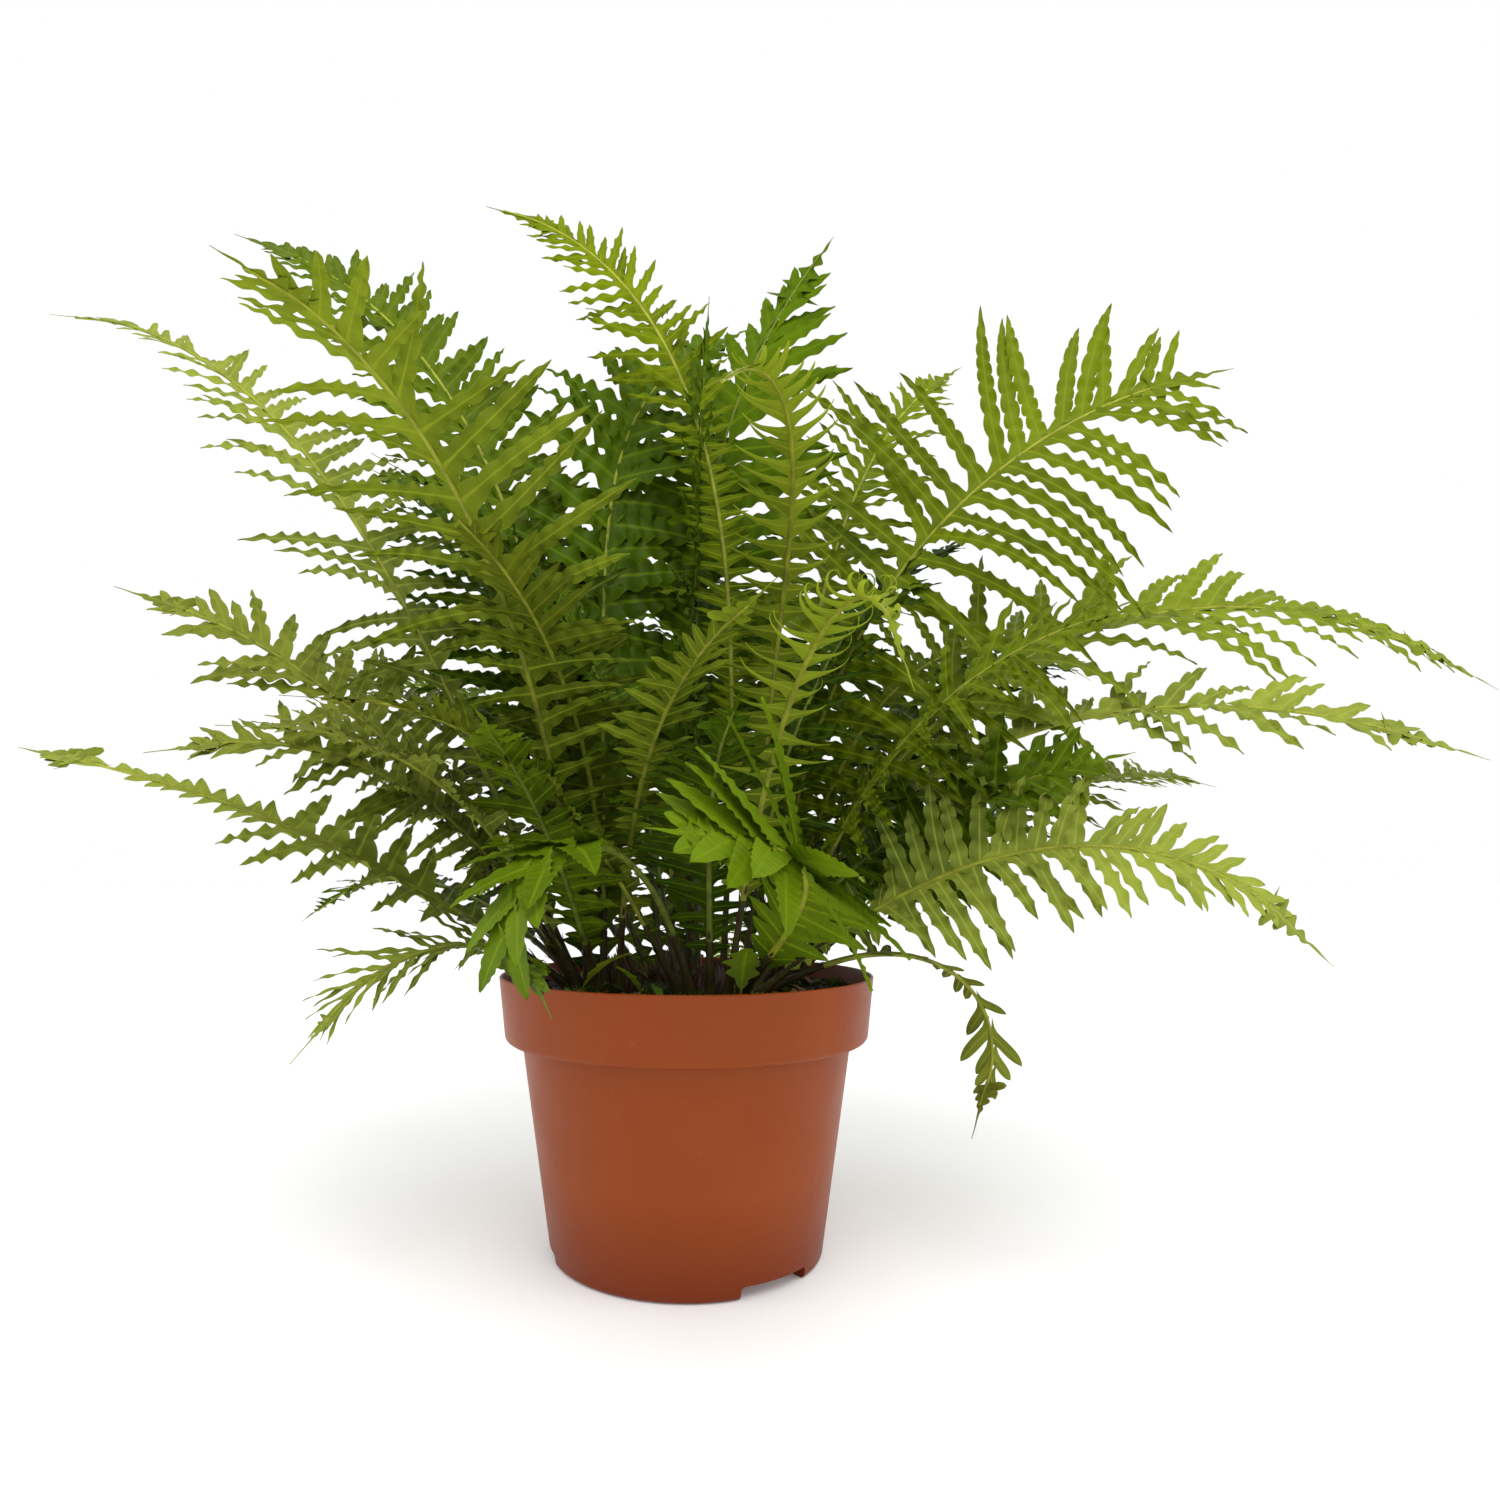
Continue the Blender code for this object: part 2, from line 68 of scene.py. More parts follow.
pot_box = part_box("pot")
POT_HEIGHT = pot_box[1].z
RIM_RADIUS = pot_box[1].x
COLLAR_HEIGHT = 0.235 * POT_HEIGHT
COLLAR_FLARE = 0.04 * RIM_RADIUS
NECK_RADIUS = 0.874 * RIM_RADIUS
FOOT_RADIUS = 0.703 * RIM_RADIUS
WALL = 0.0016
FOOT_ROUND = 0.0032
COLLAR_ROUND = 0.0036
LIP_ROUND = 0.0008
POT_SIDES = 180
POCKET_ANGLES = [math.radians(-53 + 120 * turn) for turn in range(3)]
POCKET_WIDTH = 0.042
POCKET_DEPTH = 0.017
POCKET_HEIGHT = 0.0065
POCKET_ROUND = 0.0022
BASE_RECESS = 0.0012
RECESS_RADIUS = 0.88 * FOOT_RADIUS
STANDING_RADIUS = 0.9 * FOOT_RADIUS
NECK_ROUND = 0.0012
CUT_BELOW = 0.004
CUT_BEYOND = 0.02
# How far up from the foot the painted shade on the pot reaches.
FOOT_SHADE_HEIGHT = 0.05
CREASE_OF_POT = math.radians(38)


def paint(red, green, blue):
    """A colour mixed as a screen shows it, from 0 to 255, as the shader wants it."""
    linear = []
    for part in (red, green, blue):
        share = part / 255
        linear.append(share / 12.92 if share < 0.04045 else ((share + 0.055) / 1.055) ** 2.4)
    return (*linear, 1.0)


def rounded(before, corner, after, radius, steps=5):
    """The points of a round corner between two straight runs of an outline."""
    corner = np.array(corner, float)
    inward = np.array(before, float) - corner
    outward = np.array(after, float) - corner
    inward /= np.linalg.norm(inward)
    outward /= np.linalg.norm(outward)
    half = math.acos(np.clip(inward @ outward, -1, 1)) / 2
    reach = radius / math.tan(half)
    start, end = corner + inward * reach, corner + outward * reach
    middle = corner + (inward + outward) / np.linalg.norm(inward + outward) * (radius / math.sin(half))
    points = []
    for step in range(steps + 1):
        share = step / steps
        spoke = (start - middle) * (1 - share) + (end - middle) * share
        points.append(tuple(middle + spoke / np.linalg.norm(spoke) * radius))
    return points


def turned(name, outline, sides):
    """A mesh turned about Z from an outline of (radius, height) points that starts and ends on the axis."""
    vertices = []
    rings = []
    for radius, height in outline:
        if radius < 1e-6:
            rings.append([len(vertices)])
            vertices.append((0.0, 0.0, height))
            continue
        rings.append(range(len(vertices), len(vertices) + sides))
        for side in range(sides):
            turn = 2 * math.pi * side / sides
            vertices.append((radius * math.cos(turn), radius * math.sin(turn), height))
    faces = []
    for lower, upper in zip(rings, rings[1:]):
        for side in range(sides):
            after = (side + 1) % sides
            if len(lower) == 1:
                faces.append((lower[0], upper[after], upper[side]))
            elif len(upper) == 1:
                faces.append((lower[side], lower[after], upper[0]))
            else:
                faces.append((lower[side], lower[after], upper[after], upper[side]))
    mesh = bpy.data.meshes.new(name)
    mesh.from_pydata(vertices, [], faces)
    mesh.update()
    return mesh


def pot_outline():
    """Outside of the pot from under its foot to the lip, then down its inside to the inner floor."""
    collar_base = POT_HEIGHT - COLLAR_HEIGHT
    foot = (FOOT_RADIUS, 0.0)
    neck = (NECK_RADIUS, collar_base)
    step = (RIM_RADIUS - COLLAR_FLARE, collar_base)
    rim = (RIM_RADIUS, POT_HEIGHT)
    inner_rim = (RIM_RADIUS - WALL, POT_HEIGHT)
    inner_step = (step[0] - WALL, collar_base + WALL)
    inner_neck = (NECK_RADIUS - WALL, collar_base + WALL)
    floor = POCKET_HEIGHT + 2 * WALL
    inner_foot = (FOOT_RADIUS - WALL + (NECK_RADIUS - FOOT_RADIUS) * floor / collar_base, floor)
    points = [(0.0, BASE_RECESS), (RECESS_RADIUS, BASE_RECESS), (STANDING_RADIUS, 0.0)]
    points += rounded(points[-1], foot, neck, FOOT_ROUND)
    points += rounded(foot, neck, step, NECK_ROUND, steps=3)
    points += rounded(neck, step, rim, COLLAR_ROUND, steps=8)
    points += rounded(step, rim, inner_rim, LIP_ROUND, steps=4)
    points += rounded(rim, inner_rim, inner_step, LIP_ROUND * 0.9, steps=4)
    points += rounded(inner_rim, inner_step, inner_neck, COLLAR_ROUND, steps=6)
    points += [inner_neck, inner_foot, (0.0, floor)]
    return points


def made(name, mesh, *materials):
    """A piece with this mesh and these materials, put in the scene."""
    piece = bpy.data.objects.new(name, mesh)
    bpy.context.scene.collection.objects.link(piece)
    for material in materials:
        piece.data.materials.append(material)
    return piece


def pocket_cutter(angle):
    """A block with its upper edges rounded that cuts one drain pocket into the foot."""
    half = POCKET_WIDTH / 2
    outline = [(-half, -CUT_BELOW)]
    outline += rounded((-half, 0), (-half, POCKET_HEIGHT), (half, POCKET_HEIGHT), POCKET_ROUND)
    outline += rounded((-half, POCKET_HEIGHT), (half, POCKET_HEIGHT), (half, 0), POCKET_ROUND)
    outline.append((half, -CUT_BELOW))
    near, far = FOOT_RADIUS - POCKET_DEPTH, FOOT_RADIUS + CUT_BEYOND
    vertices = [(near, across, height) for across, height in outline]
    vertices += [(far, across, height) for across, height in outline]
    count = len(outline)
    faces = [tuple(range(count)), tuple(range(2 * count - 1, count - 1, -1))]
    for side in range(count):
        after = (side + 1) % count
        faces.append((side, side + count, after + count, after))
    mesh = bpy.data.meshes.new("pocket")
    mesh.from_pydata(vertices, [], faces)
    cutter = made("pocket", mesh)
    cutter.rotation_euler.z = angle
    return cutter


def cut_away(piece, cutter):
    """Cuts one shape out of a piece for good."""
    modifier = piece.modifiers.new("cut", "BOOLEAN")
    modifier.operation = "DIFFERENCE"
    modifier.object = cutter
    bpy.context.view_layer.update()
    shape = piece.evaluated_get(bpy.context.evaluated_depsgraph_get())
    mesh = bpy.data.meshes.new_from_object(shape)
    piece.modifiers.clear()
    piece.data = mesh
    bpy.data.objects.remove(cutter)


class Shader:
    """A new material, with short calls that lay down and join its nodes."""

    def __init__(self, name):
        self.material = bpy.data.materials.new(name)
        self.material.use_nodes = True
        self.tree = self.material.node_tree
        self.surface = self.tree.nodes["Principled BSDF"]

    def add(self, kind, inputs=None, **settings):
        node = self.tree.nodes.new("ShaderNode" + kind)
        for key, value in settings.items():
            setattr(node, key, value)
        for key, value in (inputs or {}).items():
            self.put(node.inputs[key], value)
        return node

    def put(self, socket, value):
        """A socket takes a plain value, or a link from another socket."""
        if isinstance(value, bpy.types.NodeSocket):
            self.tree.links.new(value, socket)
        else:
            socket.default_value = value

    def noise(self, scale, detail=3.0, roughness=0.55, stretch=(1, 1, 1)):
        """Soft random pattern fixed to the piece, from 0 to 1."""
        place = self.add("TexCoord").outputs["Object"]
        spread = self.add("Mapping", {"Vector": place, "Scale": stretch}).outputs["Vector"]
        inputs = {"Vector": spread, "Scale": scale, "Detail": detail, "Roughness": roughness}
        return self.add("TexNoise", inputs).outputs["Fac"]

    def math(self, operation, first, second=0.0):
        return self.add("Math", {0: first, 1: second}, operation=operation).outputs[0]

    def plus(self, first, second):
        return self.math("ADD", first, second)

    def times(self, first, second):
        return self.math("MULTIPLY", first, second)

    def read(self, name):
        """What the piece's mesh says at each point under this name."""
        return self.add("Attribute", attribute_name=name).outputs["Fac"]

    def between(self, value, low, high, to_low=0.0, to_high=1.0):
        """Stretches the range from low to high onto the range from to_low to to_high."""
        inputs = {"Value": value, "From Min": low, "From Max": high, "To Min": to_low, "To Max": to_high}
        return self.add("MapRange", inputs).outputs["Result"]

    def blend(self, share, first, second):
        """A colour between two others."""
        node = self.add("Mix", data_type="RGBA")
        for socket, value in ((0, share), (6, first), (7, second)):
            self.put(node.inputs[socket], value)
        return node.outputs[2]

    def bump(self, height, depth, strength=1.0):
        inputs = {"Height": height, "Distance": depth, "Strength": strength}
        self.put(self.surface.inputs["Normal"], self.add("Bump", inputs).outputs["Normal"])

    def set(self, **values):
        for key, value in values.items():
            self.put(self.surface.inputs[key.replace("_", " ")], value)


def pot_plastic():
    """Satin plastic: a faint cloudy mottle, patches dulled by dust, a very fine moulded texture, and
    painted shade that darkens it towards the foot.
    """
    shader = Shader("pot_plastic")
    cloud = shader.between(shader.noise(9.0, detail=4.0), 0.3, 0.7)
    colour = shader.blend(cloud, paint(129, 54, 6), paint(138, 61, 9))
    specks = shader.between(shader.noise(420.0, detail=2.0), 0.66, 0.74)
    colour = shader.blend(shader.times(specks, 0.16), colour, paint(166, 94, 44))
    # Painted shade: the colour grows darker towards the foot, over the lowest five centimetres.
    place = shader.add("TexCoord").outputs["Object"]
    height = shader.between(shader.add("SeparateXYZ", {0: place}).outputs[2], 0.0, FOOT_SHADE_HEIGHT)
    colour = shader.blend(height, paint(110, 39, 1), colour)
    dull = shader.between(shader.noise(30.0, detail=5.0), 0.25, 0.75, 0.36, 0.5)
    shader.set(Base_Color=colour, Roughness=dull, Specular_IOR_Level=0.2)
    shader.bump(shader.noise(900.0, detail=2.0), 0.00012, 0.35)
    return shader.material


def finish(piece, slot, *nodes):
    """Puts a finished piece on the plant in place of the solids that it stands for."""
    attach(piece, "root")
    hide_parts(*nodes)
    return piece


pot = made("pot_shell", turned("pot_shell", pot_outline(), POT_SIDES))
for pocket_angle in POCKET_ANGLES:
    cut_away(pot, pocket_cutter(pocket_angle))
pot.data.materials.clear()
pot.data.materials.append(pot_plastic())
pot.data.shade_smooth()
pot.data.set_sharp_from_angle(angle=CREASE_OF_POT)
finish(pot, "pot_plastic", "pot")


# --------------------------------------------------------------------------------------------------
# The soil: dark, moist peat mix that fills the pot to about a centimetre below the rim. It was pressed in
# by hand and has settled, so its top is lumpy, with crumbs of peat, flakes of bark and pads of moss on it.

soil_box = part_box("soil")
SOIL_RADIUS = soil_box[1].x
SOIL_TOP = soil_box[1].z
SOIL_DEPTH = 0.017
SOIL_TAPER = 0.003
SOIL_RINGS = 44
SOIL_SIDES = 132
LUMP_HEIGHT = 0.0022
CRUMBLE_HEIGHT = 0.0007
CRUMBS = 620
CRUMB_SIZES = (0.0007, 0.0022)
CRUMB_FLATNESS = 0.75
CRUMBS_PER_BARK = 6
BARK_SIZES = (0.0025, 0.005)
BARK_FLATNESS = 0.22
MOSS_TUFTS = 46
TUFT_SPREADS = (0.004, 0.009)
SHOOTS_IN_TUFT = 46
SHOOT_HEIGHTS = (0.003, 0.0075)
SHOOT_WIDTH = 0.0006
LITTER_LEAVES = 90
LITTER_SIZES = (0.006, 0.013)
LITTER_THICKNESS = 0.0003
FRONT_ARC = (-2.9, -0.3)
PEAT, MOSS, LITTER = range(3)
CREASE_OF_SOIL = math.radians(50)


def soil_height(x, y):
    """Height of the lumpy top at a spot, a little lower where it meets the pot."""
    spot = Vector((x, y, 0.0))
    lumps = noise.fractal(spot * 55, 0.9, 2.2, 4) * LUMP_HEIGHT
    crumble = noise.noise(spot * 420) * CRUMBLE_HEIGHT
    edge = max(0.0, math.hypot(x, y) / SOIL_RADIUS - 0.9)
    return SOIL_TOP + lumps + crumble - 0.03 * edge


def crumb(generator, x, y, size, flat):
    """A small lump, as a rough eight-faced stone pushed out at random and laid on the soil."""
    squash = np.array([1.0, generator.uniform(0.5, 1.0), flat])
    corners = [(1, 0, 0), (0, 1, 0), (-1, 0, 0), (0, -1, 0), (0, 0, 1), (0, 0, -1)]
    corners = [(corner + generator.uniform(-0.25, 0.25, 3)) * squash * size for corner in np.array(corners)]
    turn = Matrix.Rotation(generator.uniform(0, 2 * math.pi), 3, "Z")
    tilt = Matrix.Rotation(generator.uniform(-0.5, 0.5), 3, "X")
    rest = Vector((x, y, soil_height(x, y) + size * flat * 0.4))
    return [rest + turn @ (tilt @ Vector(corner)) for corner in corners]


def moss_shoot(foot, heading, length, width):
    """One moss shoot: a thin three-sided spike, widest a third of the way up."""
    aside = heading.orthogonal().normalized()
    other = heading.cross(aside)
    belly = foot + heading * length * 0.35
    corners = [foot - heading * width]
    for side in range(3):
        turn = 2 * math.pi * side / 3
        corners.append(belly + (aside * math.cos(turn) + other * math.sin(turn)) * width)
    corners.append(foot + heading * length)
    return corners


CRUMB_FACES = ((0, 1, 4), (1, 0, 5), (1, 2, 4), (2, 1, 5), (2, 3, 4), (3, 2, 5), (3, 0, 4), (0, 3, 5))
MOSS_SHOOT_FACES = ((0, 2, 1), (0, 3, 2), (0, 1, 3), (4, 1, 2), (4, 2, 3), (4, 3, 1))
LITTER_FACES = ((0, 3, 2, 1), (4, 5, 6, 7), (0, 1, 5, 4), (1, 2, 6, 5), (2, 3, 7, 6), (3, 0, 4, 7))


def litter_leaf(generator, spot, size, slope):
    """A fallen scrap of leaf: a thin bent lozenge."""
    wide = size * generator.uniform(0.25, 0.5)
    bend = size * generator.uniform(0.05, 0.3)
    corners = [Vector((0, 0, 0)), Vector((size * 0.35, wide, bend * 0.6)),
               Vector((size, 0, bend)), Vector((size * 0.55, -wide, bend * 0.8))]
    corners += [corner - Vector((0, 0, LITTER_THICKNESS)) for corner in corners]
    turn = Matrix.Rotation(generator.uniform(0, 2 * math.pi), 3, "Z") @ Matrix.Rotation(-slope, 3, "Y")
    return [spot + turn @ corner for corner in corners]


class SoilBed:
    """The root ball and what lies on it, gathered into one mesh."""

    def __init__(self):
        self.vertices = []
        self.faces = []
        self.slots = []

    def add(self, corners, faces, slot):
        first = len(self.vertices)
        self.vertices += corners
        self.faces += [tuple(first + corner for corner in face) for face in faces]
        self.slots += [slot] * len(faces)

    def mesh(self, name):
        mesh = bpy.data.meshes.new(name)
        mesh.from_pydata([tuple(vertex) for vertex in self.vertices], [], self.faces)
        mesh.polygons.foreach_set("material_index", self.slots)
        mesh.update()
        return mesh


def lay_root_ball(bed):
    """The lumpy top, the sides, which draw in a little, and the flat underside."""
    turns = [2 * math.pi * side / SOIL_SIDES for side in range(SOIL_SIDES)]
    corners = [(0.0, 0.0, soil_height(0.0, 0.0))]
    for ring in range(1, SOIL_RINGS + 1):
        radius = SOIL_RADIUS * ring / SOIL_RINGS
        for turn in turns:
            x, y = radius * math.cos(turn), radius * math.sin(turn)
            corners.append((x, y, soil_height(x, y)))
    radius = SOIL_RADIUS - SOIL_TAPER
    corners += [(radius * math.cos(turn), radius * math.sin(turn), SOIL_TOP - SOIL_DEPTH) for turn in turns]
    faces = []
    for side in range(SOIL_SIDES):
        after = (side + 1) % SOIL_SIDES
        faces.append((0, 1 + side, 1 + after))
        for ring in range(SOIL_RINGS):
            low, high = 1 + ring * SOIL_SIDES, 1 + (ring + 1) * SOIL_SIDES
            faces.append((low + side, high + side, high + after, low + after))
    faces.append(tuple(1 + SOIL_RINGS * SOIL_SIDES + side for side in reversed(range(SOIL_SIDES))))
    bed.add(corners, faces, PEAT)


def scatter_crumbs(bed, generator):
    """Crumbs of peat all over the top, with flat flakes of bark among them."""
    for number in range(CRUMBS):
        turn = generator.uniform(0, 2 * math.pi)
        out = SOIL_RADIUS * 0.97 * math.sqrt(generator.uniform(0, 1))
        bark = number % CRUMBS_PER_BARK == 0
        size = generator.uniform(*(BARK_SIZES if bark else CRUMB_SIZES))
        flat = BARK_FLATNESS if bark else CRUMB_FLATNESS
        bed.add(crumb(generator, out * math.cos(turn), out * math.sin(turn), size, flat), CRUMB_FACES, PEAT)


def scatter_moss(bed, generator):
    """Tufts of moss, most of them near the rim."""
    for number in range(MOSS_TUFTS):
        turn = generator.uniform(0, 2 * math.pi) if number % 2 else generator.uniform(*FRONT_ARC)
        out = SOIL_RADIUS * (generator.uniform(0.8, 0.96) if number % 3 else generator.uniform(0.2, 0.8))
        middle = np.array([out * math.cos(turn), out * math.sin(turn)])
        spread = generator.uniform(*TUFT_SPREADS)
        for _ in range(SHOOTS_IN_TUFT):
            away = generator.normal(0, 0.5, 2)
            x, y = middle + away * spread
            if math.hypot(x, y) > SOIL_RADIUS * 0.985:
                continue
            heading = Vector((away[0] * 0.8, away[1] * 0.8, 1.0)).normalized()
            tall = generator.uniform(*SHOOT_HEIGHTS) * max(0.4, 1 - 0.4 * (away @ away))
            foot = Vector((x, y, soil_height(x, y)))
            bed.add(moss_shoot(foot, heading, tall, SHOOT_WIDTH), MOSS_SHOOT_FACES, MOSS)


def scatter_litter(bed, generator):
    """Fallen scraps of leaf between the stems, some dry and some still green."""
    for number in range(LITTER_LEAVES):
        turn = generator.uniform(0, 2 * math.pi) if number % 3 else generator.uniform(*FRONT_ARC)
        out = (SOIL_RADIUS - LITTER_SIZES[1] - 0.001) * math.sqrt(generator.uniform(0.2, 1))
        x, y = out * math.cos(turn), out * math.sin(turn)
        spot = Vector((x, y, soil_height(x, y) + 0.001))
        size = generator.uniform(*LITTER_SIZES)
        scrap = litter_leaf(generator, spot, size, generator.uniform(0.0, 0.6))
        bed.add(scrap, LITTER_FACES, LITTER if number % 2 else MOSS)


def peat():
    """Moist peat: nearly black where it is wet, with brown fibres and a few pale grains."""
    shader = Shader("peat")
    damp = shader.between(shader.noise(70.0, detail=6.0, roughness=0.7), 0.35, 0.65)
    colour = shader.blend(damp, paint(14, 10, 7), paint(44, 31, 21))
    fibres = shader.between(shader.noise(260.0, detail=3.0, stretch=(1, 5, 1)), 0.62, 0.7)
    colour = shader.blend(shader.times(fibres, 0.5), colour, paint(82, 60, 38))
    moss = shader.between(shader.noise(38.0, detail=4.0), 0.6, 0.68)
    colour = shader.blend(shader.times(moss, 0.55), colour, paint(40, 50, 14))
    rough = shader.between(damp, 0.0, 1.0, 0.7, 0.95)
    shader.set(Base_Color=colour, Roughness=rough, Specular_IOR_Level=0.2)
    shader.bump(shader.noise(340.0, detail=6.0, roughness=0.75), 0.0009, 0.9)
    return shader.material


def plain_stuff(name, dark, pale, scale):
    """Dull growth or litter, its colour patchy at one scale."""
    shader = Shader(name)
    patch = shader.between(shader.noise(scale, detail=4.0), 0.3, 0.7)
    shader.set(Base_Color=shader.blend(patch, dark, pale), Roughness=0.75, Specular_IOR_Level=0.2)
    shader.bump(shader.noise(scale * 6, detail=4.0), 0.0003, 0.6)
    return shader.material


bed = SoilBed()
soil_draws = np.random.default_rng(7)
lay_root_ball(bed)
scatter_crumbs(bed, soil_draws)
scatter_moss(bed, soil_draws)
scatter_litter(bed, soil_draws)
moss = plain_stuff("moss", paint(34, 52, 10), paint(86, 108, 22), 90.0)
litter = plain_stuff("litter", paint(50, 32, 16), paint(132, 96, 52), 120.0)
soil = made("soil_bed", bed.mesh("soil_bed"), peat(), moss, litter)
soil.data.shade_smooth()
soil.data.set_sharp_from_angle(angle=CREASE_OF_SOIL)
finish(soil, "soil", "soil")


# --------------------------------------------------------------------------------------------------
# The crowns: four knobs of old rhizome standing just out of the soil, which the fronds grow from. Each is
# woody and hidden under a coat of papery brown scales that overlap like shingles and point up and out.

CROWN_SCALES = 150
SCALE_LENGTH = 0.010
SCALE_WIDTH = 0.0013
SCALE_THICKNESS = 0.0001
SCALE_STEPS = 5
SCALE_PROFILE = np.array([0.7, 1.0, 0.85, 0.5, 0.04])
CROWN_SINK = 0.002
CROWN_LEVELS = 7
GOLDEN_TURN = math.radians(137.5)
RING_POINTS = 8
ACROSS = np.array([-1.0, -0.5, 0.0, 0.5, 1.0, 0.5, 0.0, -0.5])
UNDER = np.array([0.0, 0.0, 0.0, 0.0, 0.0, 1.0, 1.0, 1.0])
CAP = np.array([(0, 1, 2, 3), (0, 3, 4, 7), (7, 4, 5, 6)])
CHART_COLUMNS = 4
CHART_GAP = 0.04
CREASE_ANGLE = math.radians(75)
UPWARD = np.array([0.0, 0.0, 1.0])


def unit(vectors):
    """Vectors, one to a row, brought to length one."""
    return vectors / np.maximum(np.linalg.norm(vectors, axis=-1, keepdims=True), 1e-12)


def flat_chart(number):
    """Where the faces of a skin of this many rings lie when it is laid flat, from 0 to 1 both ways."""
    u = np.arange(number - 1)[:, None] / (number - 1)
    v = np.arange(RING_POINTS)[None, :] / RING_POINTS
    u_step, v_step = 1 / (number - 1), 1 / RING_POINTS
    corners = [np.stack([u + du * u_step + 0 * v, v + dv * v_step + 0 * u], axis=-1)
               for du, dv in ((0, 0), (1, 0), (1, 1), (0, 1))]
    sides = np.stack(corners, axis=2).reshape(-1, 4, 2)
    ends = np.zeros((6, 4, 2))
    ends[3:, :, 0] = 1.0
    ends[:, :, 1] = np.concatenate([CAP, CAP[:, ::-1]]) / RING_POINTS
    return CHART_GAP + (1 - 2 * CHART_GAP) * np.concatenate([sides, ends])


class Skins:
    """Gathers closed skins, each drawn over rings of eight points, and makes one mesh of them. The first
    five points of a ring run across the upper face, and the last three come back under it."""

    def __init__(self):
        self.points = []
        self.faces = []
        self.slots = []
        self.places = []
        self.across = []
        self.along = []
        self.tone = []
        self.count = 0
        self.skins = 0

    def add(self, rings, slots, tone=0.5):
        """rings is rings x 8 points; slots gives the material of each of the eight strips between them, and
        tone how pale the skin is, from 0 to 1, for all of it or for each ring; on leaflets and ribs a low
        tone is painted shade in the plant's heart."""
        number = len(rings)
        strip = np.arange(RING_POINTS)
        after = (strip + 1) % RING_POINTS
        low = (np.arange(number - 1) * RING_POINTS)[:, None]
        high = low + RING_POINTS
        sides = np.stack([low + strip, high + strip, high + after, low + after], axis=-1).reshape(-1, 4)
        tip_cap = CAP[:, ::-1] + (number - 1) * RING_POINTS
        self.faces.append(np.concatenate([sides, CAP, tip_cap]) + self.count)
        self.slots.append(np.concatenate([np.tile(slots, number - 1), [slots[0]] * 6]))
        self.places.append((self.skins, flat_chart(number)))
        self.points.append(rings.reshape(-1, 3))
        middle = rings.mean(axis=1)
        length = np.concatenate([[0.0], np.cumsum(np.linalg.norm(np.diff(middle, axis=0), axis=1))])
        self.along.append(np.repeat(length, RING_POINTS))
        self.across.append(np.tile(ACROSS, number))
        self.tone.append(np.repeat(np.broadcast_to(tone, number), RING_POINTS))
        self.count += number * RING_POINTS
        self.skins += 1

    def mesh(self, name):
        """One mesh of all the skins, with what its materials read, and a map with a cell for each skin."""
        mesh = bpy.data.meshes.new(name)
        mesh.from_pydata(np.concatenate(self.points).tolist(), [], np.concatenate(self.faces).tolist())
        mesh.polygons.foreach_set("material_index", np.concatenate(self.slots).astype(np.int32))
        for key, values in (("across", self.across), ("along", self.along), ("tone", self.tone)):
            attribute = mesh.attributes.new(key, "FLOAT", "POINT")
            attribute.data.foreach_set("value", np.concatenate(values).astype(np.float32))
        rows = math.ceil(self.skins / CHART_COLUMNS)
        cells = []
        for skin, chart in self.places:
            corner = np.array([skin % CHART_COLUMNS, skin // CHART_COLUMNS])
            cells.append((corner + chart) / (CHART_COLUMNS, rows))
        layer = mesh.uv_layers.new(name="OFBake")
        layer.uv.foreach_set("vector", np.concatenate(cells).astype(np.float32).ravel())
        mesh.shade_smooth()
        mesh.set_sharp_from_angle(angle=CREASE_ANGLE)
        mesh.update()
        return mesh


def blade(centre, facing, right, left, rise, thickness, rib=None, hold=None):
    """The rings of a thin blade along a line of points. facing is the way its upper face looks at each
    point, right and left are its half widths, and rise lifts each of the eight ring points towards facing.
    Where hold is large, the blade is spread along the direction of the rib that it grows from."""
    along = unit(np.gradient(centre, axis=0))
    facing = unit(facing - (facing * along).sum(axis=1, keepdims=True) * along)
    sideways = np.cross(facing, along)
    if rib is not None:
        sideways = unit(sideways + np.sign(sideways @ rib)[:, None] * rib * hold[:, None])
    reach = np.where(ACROSS < 0, right[:, None], left[:, None]) * ACROSS
    height = rise - UNDER * (thickness[:, None] * (1.3 - 0.6 * np.abs(ACROSS)))
    return centre[:, None] + sideways[:, None] * reach[..., None] + facing[:, None] * height[..., None]


def add_scale(skins, root, heading, facing, length, width, slot, curl=0.5):
    """One papery scale: a narrow pointed blade that bends away from what it grows on."""
    share = np.linspace(0, 1, SCALE_STEPS)[:, None]
    path = unit(heading + facing * (0.15 + curl * share))
    run = np.concatenate([np.zeros((1, 3)), np.cumsum(path[1:], axis=0)])
    centre = root + run * length / (SCALE_STEPS - 1)
    half = width * SCALE_PROFILE
    rise = half[:, None] * 0.25 * np.abs(ACROSS) ** 2
    facings = np.repeat(facing[None], SCALE_STEPS, axis=0)
    thickness = np.full(SCALE_STEPS, SCALE_THICKNESS)
    skins.add(blade(centre, facings, half, half, rise, thickness), [slot] * RING_POINTS)


def papery_brown():
    """Dry scales: chestnut brown, thin and slightly shiny, darker towards the middle of each."""
    shader = Shader("scale_brown")
    across = shader.math("ABSOLUTE", shader.read("across"))
    patch = shader.between(shader.noise(300.0, detail=3.0), 0.3, 0.7)
    colour = shader.blend(patch, paint(48, 27, 15), paint(96, 58, 32))
    colour = shader.blend(shader.between(across, 0.2, 1.0), paint(34, 19, 11), colour)
    shader.set(Base_Color=colour, Roughness=0.55)
    shader.bump(shader.noise(700.0, detail=3.0, stretch=(1, 1, 0.2)), 0.0002, 0.6)
    return shader.material


